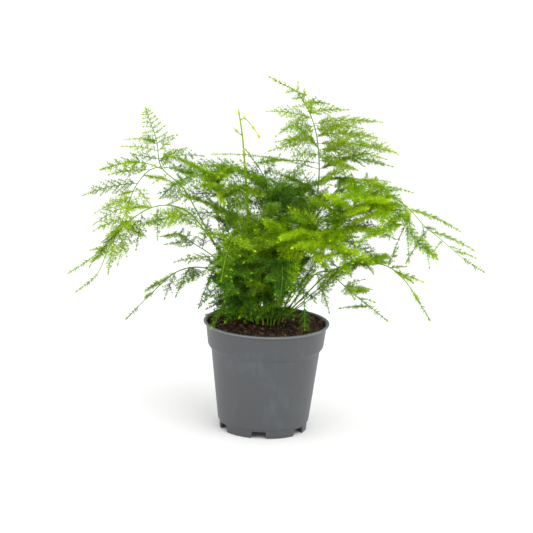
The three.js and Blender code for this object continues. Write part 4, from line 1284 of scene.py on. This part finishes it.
# Single sprays of an axis that go to set tips: from which share of it, the tip, the tone, and how broad.
SET_SPRAYS = {
    ("frond_left_tall", 0): [(0.87, (-138, 6, 273), 0.6, 0.0)],
    ("frond_right_tall", 1): [(0.5, (129, -60, 180), 0.6, 0.0), (0.62, (147, -75, 180), 0.6, 0.0)],
    ("frond_low_left", 0): [
        (0.5, (-51, -38, 106.5), 0.5, 0.0), (0.36, (-38, -30, 110.5), 0.5, 0.0),
        (0.6, (-62, -44, 128), 0.4, 0.2), (0.7, (-58, -48, 160), 0.85, 0.2),
    ],
    ("frond_front", 0): [(0.3, (-25, -44, 119), 0.35, 0.2)],
    ("frond_low_front", 0): [(0.3, (-8, -46, 120), 0.35, 0.2)],
    ("frond_hanging", 0): [
        (0.66, (26, -34, 132), 0.4, 0.0), (0.68, (45, -30, 132), 0.4, 0.0),
        (0.45, (42, -28, 160), 0.35, 0.3),
    ],
    ("frond_centre_left", 0): [
        (0.5, (-32, -10, 197), 0.3, 0.38), (0.4, (-62, -20, 200), 0.3, 0.3),
        (0.5, (6, -20, 215), 0.3, 0.45), (0.45, (-34, -40, 199), 0.3, 0.38),
    ],
    ("frond_centre_back", 0): [(0.5, (-22, 5, 211), 0.25, 0.38), (0.55, (22, 8, 226), 0.3, 0.38)],
    ("frond_front_bright", 0): [(0.6, (64, -62, 190), 0.6, 0.38)],
    ("frond_right_tall", 0): [
        (0.765, (117, -10, 271), 0.85, 0.3), (0.7, (-2, -2, 269), 0.6, 0.3),
        (0.75, (9, -16, 276), 0.5, 0.34), (0.66, (18, -12, 266), 0.5, 0.3),
        (0.8, (3, 4, 282), 0.6, 0.3),
    ],
    ("frond_right_front", 0): [(0.42, (66, -38, 210), 0.4, 0.38)],
}


def whorl_shape(rng):
    """One whorl, modelled once: a tiny core with a needle on each of its six faces, Z along the shoot."""
    start_clean()
    bpy.ops.mesh.primitive_cone_add(vertices=3, radius1=1, radius2=0, depth=1, end_fill_type="TRIFAN")
    whorl = bpy.context.object
    bpy.ops.object.mode_set(mode="EDIT")
    bpy.ops.mesh.select_all(action="SELECT")
    bpy.ops.mesh.poke()
    layer = bmesh.from_edit_mesh(whorl.data)
    for v in layer.verts:
        if len(v.link_faces) == 3:
            v.co = needle_tip(v.co, rng)
        elif math.hypot(v.co.x, v.co.y) < 0.01:
            v.co = (0, 0, math.copysign(WHORL["half_width"], v.co.z))
        else:
            v.co = (v.co.x * WHORL["radius"], v.co.y * WHORL["radius"], 0)
    bmesh.update_edit_mesh(whorl.data)
    corners, triangles = shape_of(whorl)
    return corners[:, (2, 0, 1)], triangles


def needle_tip(face_middle, rng):
    """Where the needle on a face of a whorl's core ends: those in front lean forward, others stand out."""
    x, y, z = face_middle
    kind = "front" if y > 0 else "side"
    turn = math.radians(rng.uniform(*NEEDLE_TURN_DEG[kind]))
    turn = math.copysign(turn, x) if y > 0 else turn
    opening = math.radians(rng.uniform(*NEEDLE_OPENING_DEG[kind]))
    across = math.sin(opening)
    side = 1 if z > -0.3 else -1  # the middles of the faces lie lower than the middle of the core
    tip = Vector((across * math.sin(turn), math.cos(opening), side * across * math.cos(turn)))
    return tip * rng.uniform(*NEEDLE_LENGTHS)


def bud_shape():
    """One bud along Z, modelled once: a slim spindle, thickest near its root."""
    start_clean()
    bpy.ops.mesh.primitive_uv_sphere_add(segments=5, ring_count=3, radius=0.5)
    bud = bpy.context.object
    bpy.ops.object.mode_set(mode="EDIT")
    layer = bmesh.from_edit_mesh(bud.data)
    for v in layer.verts:
        is_upper = v.co.z > 0
        if math.hypot(v.co.x, v.co.y) < 0.01:
            v.co.z = 1 if is_upper else 0
        else:
            width, height = BUD_RINGS["upper" if is_upper else "lower"]
            v.co *= width
            v.co.z = height
    bmesh.update_edit_mesh(bud.data)
    return shape_of(bud)


class Shoot:
    """What carries needles: its line, its flat direction, its bare share and its tone; the size of its
    needles and of its bud, over which length they are young, how far apart, and how far they turn."""

    def __init__(self, line, over, bare, tone, size=1.0, bud=1.0, young=YOUNG, fine=1.0, roll=ROLL):
        self.line, self.over, self.bare, self.tone, self.size = line, over, bare, tone, size
        self.bud, self.young, self.fine, self.roll = bud, young, fine, roll


class Spray:
    """What carries twigs: its line, its flat direction, its tone, how broad it is and where twigs start."""

    def __init__(self, line, over, tone, broad, start=0):
        self.line, self.over, self.tone, self.broad, self.start = line, over, tone, broad, start


def rooted(line, stem):
    """An arm's line, with its start moved onto the middle of the stem that it forks off."""
    middles = np.array([along(stem, share)[0] for share in np.linspace(0, 1, 400)])
    gaps = np.linalg.norm(middles[None] - line[:3, None], axis=2)
    first, nearest = np.unravel_index(gaps.argmin(), gaps.shape)
    return np.vstack([middles[nearest], line[first + 1 :]])


def twig(point, way, over, side_sign, opening, length, tone, bud, rng, fine=1.0):
    """A twig that leaves what carries it to one side; a long one bends forward."""
    up = unit(over - way * (over @ way))
    out = unit(np.cross(up, way) * side_sign + up * rng.normal(0, TWIG_STRAY))
    heading = way * math.cos(opening) + out * math.sin(opening)
    line = [point, point + heading * length]
    if length > TWIG_BEND["over"]:
        bent = unit(heading + way * TWIG_BEND["ahead"] - UP * TWIG_BEND["down"])
        line[1:] = [point + heading * length * 0.5, point + (heading + bent) * length * 0.5]
    tone += rng.normal(0, TONE_SPREAD["twig"])
    return Shoot(np.array(line), up, TWIG_BARE, tone, bud=bud, fine=fine)


def spray_twigs(spray, gap, rng):
    """The twigs on both sides of a spray, shorter towards its tip, which is a plain feather."""
    total = length_of(spray.line)
    longest = min(LONGEST_TWIG, spray.broad * total)
    found = []
    at = FIRST_TWIG + spray.start * total + gap * rng.uniform(0, 1)
    side_sign = 1
    while at < total - SPRAY_TIP:
        point, way = along(spray.line, at / total)
        left = total - at - SPRAY_TIP
        length = min(longest * outline(at / total), TWIG_END["share"] * left + TWIG_END["more"])
        length *= rng.uniform(0.8, 1.12)
        if length > LEAST_TWIG:
            opening = math.radians(rng.uniform(*TWIG_OPENING_DEG))
            bud = float(rng.uniform() < BUD_SHARE)
            found.append(twig(point, way, spray.over, side_sign, opening, length, spray.tone, bud, rng))
        side_sign = -side_sign
        at += gap * rng.uniform(0.85, 1.2)
    return found


def tip_twigs(line, over, start, plain, comb, tone, rng):
    """The twigs of a narrow feather at the tip of a stem or an arm, up to where it is plain."""
    gap, degrees, longest = comb
    total = length_of(line)
    found = []
    at = start * total
    side_sign = 1
    while at < total - plain:
        left = total - at
        point, way = along(line, at / total)
        length = min(COMB_GROWTH["share"] * left + COMB_GROWTH["more"], longest)
        stray = COMB_GROWTH["stray_deg"]
        opening = math.radians(degrees + rng.uniform(-stray, stray))
        length *= rng.uniform(0.85, 1.1)
        found.append(twig(point, way, over, side_sign, opening, length, tone, TIP_BUD, rng, COMB_FINE))
        side_sign = -side_sign
        closer = min(1.0, COMB_GROWTH["closest"] + left / COMB_GROWTH["over"])
        at += gap * closer * rng.uniform(0.85, 1.15)
    return found


def add_needles(shells, shoots, shapes, size, settings, rng):
    """Whorls of needles along shoots, each turned a little about its shoot."""
    points, ways, ups, sizes, tones, rolls = [], [], [], [], [], []
    gap = settings.whorl_gap / MM
    for shoot in shoots:
        total = length_of(shoot.line)
        count = max(2, round(total * (1 - shoot.bare) / (gap * shoot.fine)))
        for i in range(count):
            share = shoot.bare + (1 - shoot.bare) * (i + rng.uniform(0.2, 0.8)) / count
            point, way = along(shoot.line, share)
            left = (1 - share) * total
            points.append(point)
            ways.append(way)
            ups.append(shoot.over)
            rolls.append(rng.uniform(-shoot.roll, shoot.roll))
            young_size = min(1.0, YOUNG_SIZE + (1 - YOUNG_SIZE) * left / shoot.young)
            sizes.append(size * shoot.size * young_size)
            tones.append(shoot.tone + YOUNG_TONE["paler"] * max(0.0, 1 - left / YOUNG_TONE["over"]))
    points, ways, ups = np.array(points), np.array(ways), np.array(ups)
    count = len(points)
    side, up = frames_for(ways, ups)
    turn = np.array(rolls)[:, None]
    ups = up * np.cos(turn) + side * np.sin(turn)
    lengths = settings.needle / MM * np.array(sizes) * rng.uniform(0.85, 1.1, count)
    tones = np.array(tones) + rng.normal(0, TONE_SPREAD["needle"], count)
    kinds = rng.integers(len(shapes), size=count)
    for kind, shape in enumerate(shapes):
        these = kinds == kind
        reach = np.linalg.norm(shape[0], axis=1)
        # Painted shade: each needle is darker at its root, where it meets its shoot.
        shades = tones[these, None] + NEEDLE_ROOT_SHADE * (reach[None] - 0.5)
        shells.copies(shape, points[these], ways[these], ups[these], lengths[these], lengths[these], shades)


def add_buds(shells, shoots, shape, rng):
    """A pale bud at the tip of each shoot that has one."""
    tipped = [shoot for shoot in shoots if shoot.bud]
    ends = np.array([shoot.line[-1] for shoot in tipped])
    ways = unit(np.array([shoot.line[-1] - shoot.line[-2] for shoot in tipped]))
    ups = np.array([shoot.over for shoot in tipped])
    sizes = rng.uniform(*BUD["sizes"], len(tipped)) * np.array([shoot.bud for shoot in tipped])
    tones = rng.uniform(*BUD["tones"], len(tipped))
    tones = tones + BUD["like_shoot"] * np.array([shoot.tone for shoot in tipped])
    widths, lengths = BUD["width"] * sizes, BUD["length"] * sizes
    shells.copies(shape, ends - ways * BUD["sunk"], ways, ups, widths, lengths, tones, True)


def add_shoot_buds(shells, axes, shape):
    """The larger buds of the shoot that has no needles yet."""
    width, length = np.array([SHOOT_BUD["width"]]), np.array([SHOOT_BUD["length"]])
    for axis in axes:
        for share in axis.get("buds", ()):
            point, way = along(axis["line"], share)
            place = (point - way * SHOOT_BUD["sunk"])[None]
            shells.copies(shape, place, way[None], AWAY[None], width, length, SHOOT_BUD["tone"], True)


def is_in(p, place, edge):
    """Whether a point lies in one of the places, whose edges are drawn in by edge."""
    x0, x1, z0, z1 = PLACES[place][:4]
    height = p[2] + SIGHT_SLOPE * p[1]
    return x0 + edge < p[0] < x1 - edge and z0 + edge < height < z1 - edge


def spray_tone(tone, rng):
    """A spray's tone, drawn round that of its axis."""
    return max(tone + rng.normal(0, TONE_SPREAD["spray"]), LEAST_TONE)


def fill_sprays(axis, place, count, first, last, reach, tone, rng):
    """Sprays round an axis which end at the edge of their place."""
    found = []
    rise = PLACES[place][4:]
    for i in range(count):
        share = min(first + (last - first) * (i + rng.uniform(0.1, 0.9)) / count, FILL_SPRAY["last_share"])
        point, way = along(axis["line"], share)
        turn = GOLDEN_TURN * i + rng.uniform(-0.5, 0.5)
        level = np.array((math.cos(turn), math.sin(turn), rng.uniform(*rise)))
        ahead = unit(unit(level) + FILL_SPRAY["ahead"] * way * (1, 1, 1 if rise[0] >= 0 else 0))
        line = spray_line(point, ahead, reach * rng.uniform(0.7, 1.1), FILL_SPRAY["droop"])
        edge = rng.uniform(-PLACE_EDGE, PLACE_EDGE)
        starts_in = is_in(point, place, edge)
        ends = [k for k, p in enumerate(line) if in_pot(p) or (not is_in(p, place, edge) and starts_in)]
        line = line[: ends[0]] if ends else line
        if len(line) > 2 and is_in(line[-1], place, edge):
            over = unit(UP + LEVEL_LEAN * level * (1, 1, 0) + rng.normal(0, FILL_SPRAY["stray"], 3))
            found.append(Spray(line, over, spray_tone(tone, rng), BROAD))
    return found


def main_sprays(axis, tone, rng):
    """The sprays that an axis has grown, up to its plain tip, each with its plane turned nearly level."""
    found = []
    lean = axis.get("level", LEVEL)
    last = 1 - axis.get("feather", axis.get("plain", 0)) / length_of(axis["line"])
    for spray in axis["grown"]:
        if spray["kind"] == "grown" and spray["share"] > last:
            continue
        ahead = spray["line"][1] - spray["line"][0]
        level = unit(UP + LEVEL_LEAN * unit(ahead * (1, 1, 0) + 1e-6))
        over = unit(lean * level + (1 - lean) * spray["over"])
        broad = 0 if spray["kind"] == "plain" else axis.get("broad", BROAD)
        found.append(Spray(spray["line"], over, spray_tone(tone, rng), broad))
    return found


def set_sprays(axis, rows):
    """The single sprays of an axis that go to set tips."""
    found = []
    for share, tip, tone, broad in rows:
        point, way = along(axis["line"], share)
        line = arch_to(point, np.array(tip, float))
        found.append(Spray(line, upward(unit(np.cross(way, line[1] - point))), tone, broad))
    return found


def side_stems(stem, rng):
    """Thin young stems that fork off a stem just above the soil and run up beside it."""
    line = stem["line"]
    start = next(k for k, p in enumerate(line) if p[2] > SOIL_CROWN + SIDE_STEMS["above_soil"])
    found = []
    for _ in range(SIDE_STEMS["count"]):
        root = line[start]
        end, way = along(line, rng.uniform(*SIDE_STEMS["to_share"]))
        turn = rng.uniform(0, 2 * math.pi)
        aside = np.array((math.cos(turn), math.sin(turn), 0)) * rng.uniform(*SIDE_STEMS["aside"])
        side_line = smooth_line([root, root + 0.45 * (end - root) + 0.7 * aside, end + aside])
        over = upward(unit(np.cross(way, unit(aside))))
        found.append(Spray(side_line, over, *(SIDE_STEMS[key] for key in ("tone", "broad", "twigs_from"))))
    return found


def axis_tip(axis, line, tone, rng):
    """The tip of a stem or an arm, as a shoot, and its short twigs."""
    total = length_of(line)
    flat = np.array(axis.get("facing", TIP_FLAT))
    plain = axis.get("plain", PLAIN_TIP)
    feather = axis.get("feather", axis.get("plain", FEATHER))
    start = min(max(1 - feather / total, axis["bare"]), 1 - plain / total)
    tip = Shoot(
        line, flat, start, tone, axis.get("needle", TIP_NEEDLE), TIP_BUD, axis.get("young", YOUNG_TIP),
        axis.get("fine", TIP_FINE), FACING_ROLL if "facing" in axis else ROLL,
    )
    return tip, tip_twigs(line, flat, start, plain, axis.get("comb", COMB), tone, rng)


def model_axis(shells, frond, number, gap, rng):
    """Adds the stalks of a stem or an arm and of what grows on it; gives all that carries needles."""
    axis = frond["axes"][number]
    is_stem, is_bare = number == 0, axis["bare"] == 1
    line = axis["line"] if is_stem else rooted(axis["line"], frond["axes"][0]["line"])
    radii = (BARE_RADII if is_bare else STEM_RADII) if is_stem else ARM_RADII
    shells.stalk(line, AWAY, radii, SIDES["stem"], BARE_TONES if is_bare else STEM_TONES)
    if is_bare:
        return []
    tone = axis.get("tone", frond.get("tone", TONE))
    tip, twigs = axis_tip(axis, line, tone - DARKER, rng)
    key = (frond["name"], number)
    sprays = main_sprays(axis, tone, rng) + set_sprays(axis, SET_SPRAYS.get(key, ()))
    for row in FILL.get(key, ()):
        sprays += fill_sprays(axis, *row, rng)
    stems = side_stems(axis, rng) if is_stem and frond["name"] not in SINGLE_STEMS else []
    shoots = [tip]
    for stem in stems:
        shells.stalk(stem.line, stem.over, SIDE_STEM_RADII, SIDES["side_stem"], STEM_TONES)
        shoots.append(Shoot(stem.line, stem.over, SIDE_STEMS["bare"], stem.tone))
    for spray in sprays:
        shells.stalk(spray.line, spray.over, SPRAY_RADII, SIDES["spray"], (spray.tone - DARKER,))
        shoots.append(Shoot(spray.line, spray.over, SPRAY_BARE, spray.tone, bud=TIP_BUD))
    for spray in stems + sprays:
        if spray.broad and length_of(spray.line) > SPRAY_TIP * 2:
            twigs += spray_twigs(spray, gap, rng)
    for each in twigs:
        shells.stalk(each.line, each.over, TWIG_RADII, SIDES["twig"], (each.tone - DARKER,))
    return shoots + twigs


def model_frond(frond, shapes, material, settings):
    """One frond: its stem and arms, with all their sprays, twigs, needles and buds."""
    rng = np.random.default_rng(frond["seed"])
    shells = Shells()
    shoots = []
    for number in range(len(frond["axes"])):
        shoots += model_axis(shells, frond, number, settings.twig_gap / MM, rng)
    whorls, bud = shapes
    if shoots:
        add_needles(shells, shoots, whorls, NEEDLE_SIZES[frond["finish"]], settings, rng)
        add_buds(shells, shoots, bud, rng)
    add_shoot_buds(shells, frond["axes"], bud)
    return shells.piece(f"{frond['name']}_needled", material)


# ------------------------------------------------------------------ stage

CAMERA_AIM = (-1.8, 0.0, 157.3)
FLOOR_SIZE = 30.0  # metres
# Where each softbox stands, as a direction, and how wide it looks, in degrees.
SOFTBOXES = {"key": ((1.1, -1.5, 2.2), 50), "fill": ((-1.6, -1.3, 1.2), 70)}


def make_floor(settings):
    """A wide, even floor that the pot stands on."""
    start_clean()
    bpy.ops.mesh.primitive_plane_add(size=FLOOR_SIZE)
    floor = bpy.context.object
    floor.name = floor.data.name = "studio_floor"
    material, _, shader = new_material("studio_floor", specular=0.1, roughness=0.9)
    shader.inputs["Base Color"].default_value = (*settings.floor, 1)
    floor.data.materials.append(material)


def make_lights(settings):
    """Even light from all round, a softbox in front on the right, and a wider, fainter one on the left."""
    world = bpy.data.worlds.new("studio")
    bpy.context.scene.world = world
    world.use_nodes = True
    background = world.node_tree.nodes["Background"]
    background.inputs["Color"].default_value = (1, 1, 1, 1)
    background.inputs["Strength"].default_value = settings.sky
    for name, (place, width_deg) in SOFTBOXES.items():
        lamp = bpy.data.lights.new(name, "SUN")
        lamp.angle = math.radians(width_deg)
        lamp.energy = getattr(settings, name)
        light = put_in_scene(name, lamp)
        light.rotation_euler = Vector(place).to_track_quat("Z", "Y").to_euler()
    bpy.context.scene.view_settings.view_transform = "Standard"  # colours as they are


def make_camera(settings):
    """A long lens in front, a little above the rim."""
    data = bpy.data.cameras.new("camera")
    data.lens = settings.lens
    data.clip_end = 100
    camera = put_in_scene("camera", data)
    aim = Vector(CAMERA_AIM) * MM
    back = Vector((0, -math.cos(settings.elevation), math.sin(settings.elevation))) * settings.distance
    look = (-back).to_track_quat("-Z", "Y").to_matrix().to_4x4()
    camera.matrix_world = Matrix.Translation(aim + back) @ look @ Matrix.Rotation(settings.roll, 4, "Z")
    bpy.context.scene.camera = camera


# ------------------------------------------------------------------ operators


class FERN_OT_pot(bpy.types.Operator):
    """Model the moulded nursery pot"""

    bl_idname = "fern.pot"
    bl_label = "Nursery Pot"

    def execute(self, context):
        pot = model_pot(context.scene.fern_pot)
        dress(pot, "pot", "pot_plastic")
        return {"FINISHED"}


class FERN_OT_soil(bpy.types.Operator):
    """Model the crumbly potting soil"""

    bl_idname = "fern.soil"
    bl_label = "Potting Soil"

    def execute(self, context):
        soil = model_soil(context.scene.fern_soil)
        dress(soil, "soil", "potting_soil")
        return {"FINISHED"}


class FERN_OT_fronds(bpy.types.Operator):
    """Grow the fronds and the bare shoot, each from its own root"""

    bl_idname = "fern.fronds"
    bl_label = "Fronds"

    def execute(self, context):
        settings = context.scene.fern_foliage
        grow_fronds()
        rng = np.random.default_rng(WHORL["seed"])
        shapes = ([whorl_shape(rng) for _ in range(WHORL["kinds"])], bud_shape())
        materials = {finish: foliage_material(finish, settings) for finish in FINISHES}
        for frond in FRONDS:
            piece = model_frond(frond, shapes, materials[frond["finish"]], settings)
            dress(piece, frond["name"], FINISHES[frond["finish"]][0])
        return {"FINISHED"}


class FERN_OT_stage(bpy.types.Operator):
    """Set up the pale floor, the soft studio light and the camera"""

    bl_idname = "fern.stage"
    bl_label = "Stage"

    def execute(self, context):
        settings = context.scene.fern_stage
        make_floor(settings)
        make_lights(settings)
        make_camera(settings)
        return {"FINISHED"}


# ------------------------------------------------------------------ panel and registration

OPERATORS = (FERN_OT_pot, FERN_OT_soil, FERN_OT_fronds, FERN_OT_stage)
SETTINGS = {
    "fern_pot": FernPotSettings,
    "fern_soil": FernSoilSettings,
    "fern_foliage": FernFoliageSettings,
    "fern_stage": FernStageSettings,
}


class FERN_PT_panel(bpy.types.Panel):
    """The fern's parts and their settings"""

    bl_label = "Potted Fern"
    bl_idname = "FERN_PT_panel"
    bl_space_type = "VIEW_3D"
    bl_region_type = "UI"
    bl_category = "Fern"

    def draw(self, context):
        for operator, name in zip(OPERATORS, SETTINGS):
            box = self.layout.box()
            box.operator(operator.bl_idname)
            group = getattr(context.scene, name)
            for key in group.bl_rna.properties.keys():
                if key not in ("rna_type", "name"):
                    box.prop(group, key)


def register():
    for cls in (*SETTINGS.values(), *OPERATORS, FERN_PT_panel):
        bpy.utils.register_class(cls)
    for name, group in SETTINGS.items():
        setattr(bpy.types.Scene, name, PointerProperty(type=group))


def unregister():
    for name in SETTINGS:
        delattr(bpy.types.Scene, name)
    for cls in reversed((*SETTINGS.values(), *OPERATORS, FERN_PT_panel)):
        bpy.utils.unregister_class(cls)


def main():
    """Makes every piece in order."""
    register()
    bpy.ops.fern.stage()
    bpy.ops.fern.pot()
    bpy.ops.fern.soil()
    bpy.ops.fern.fronds()


if __name__ == "__main__":
    main()
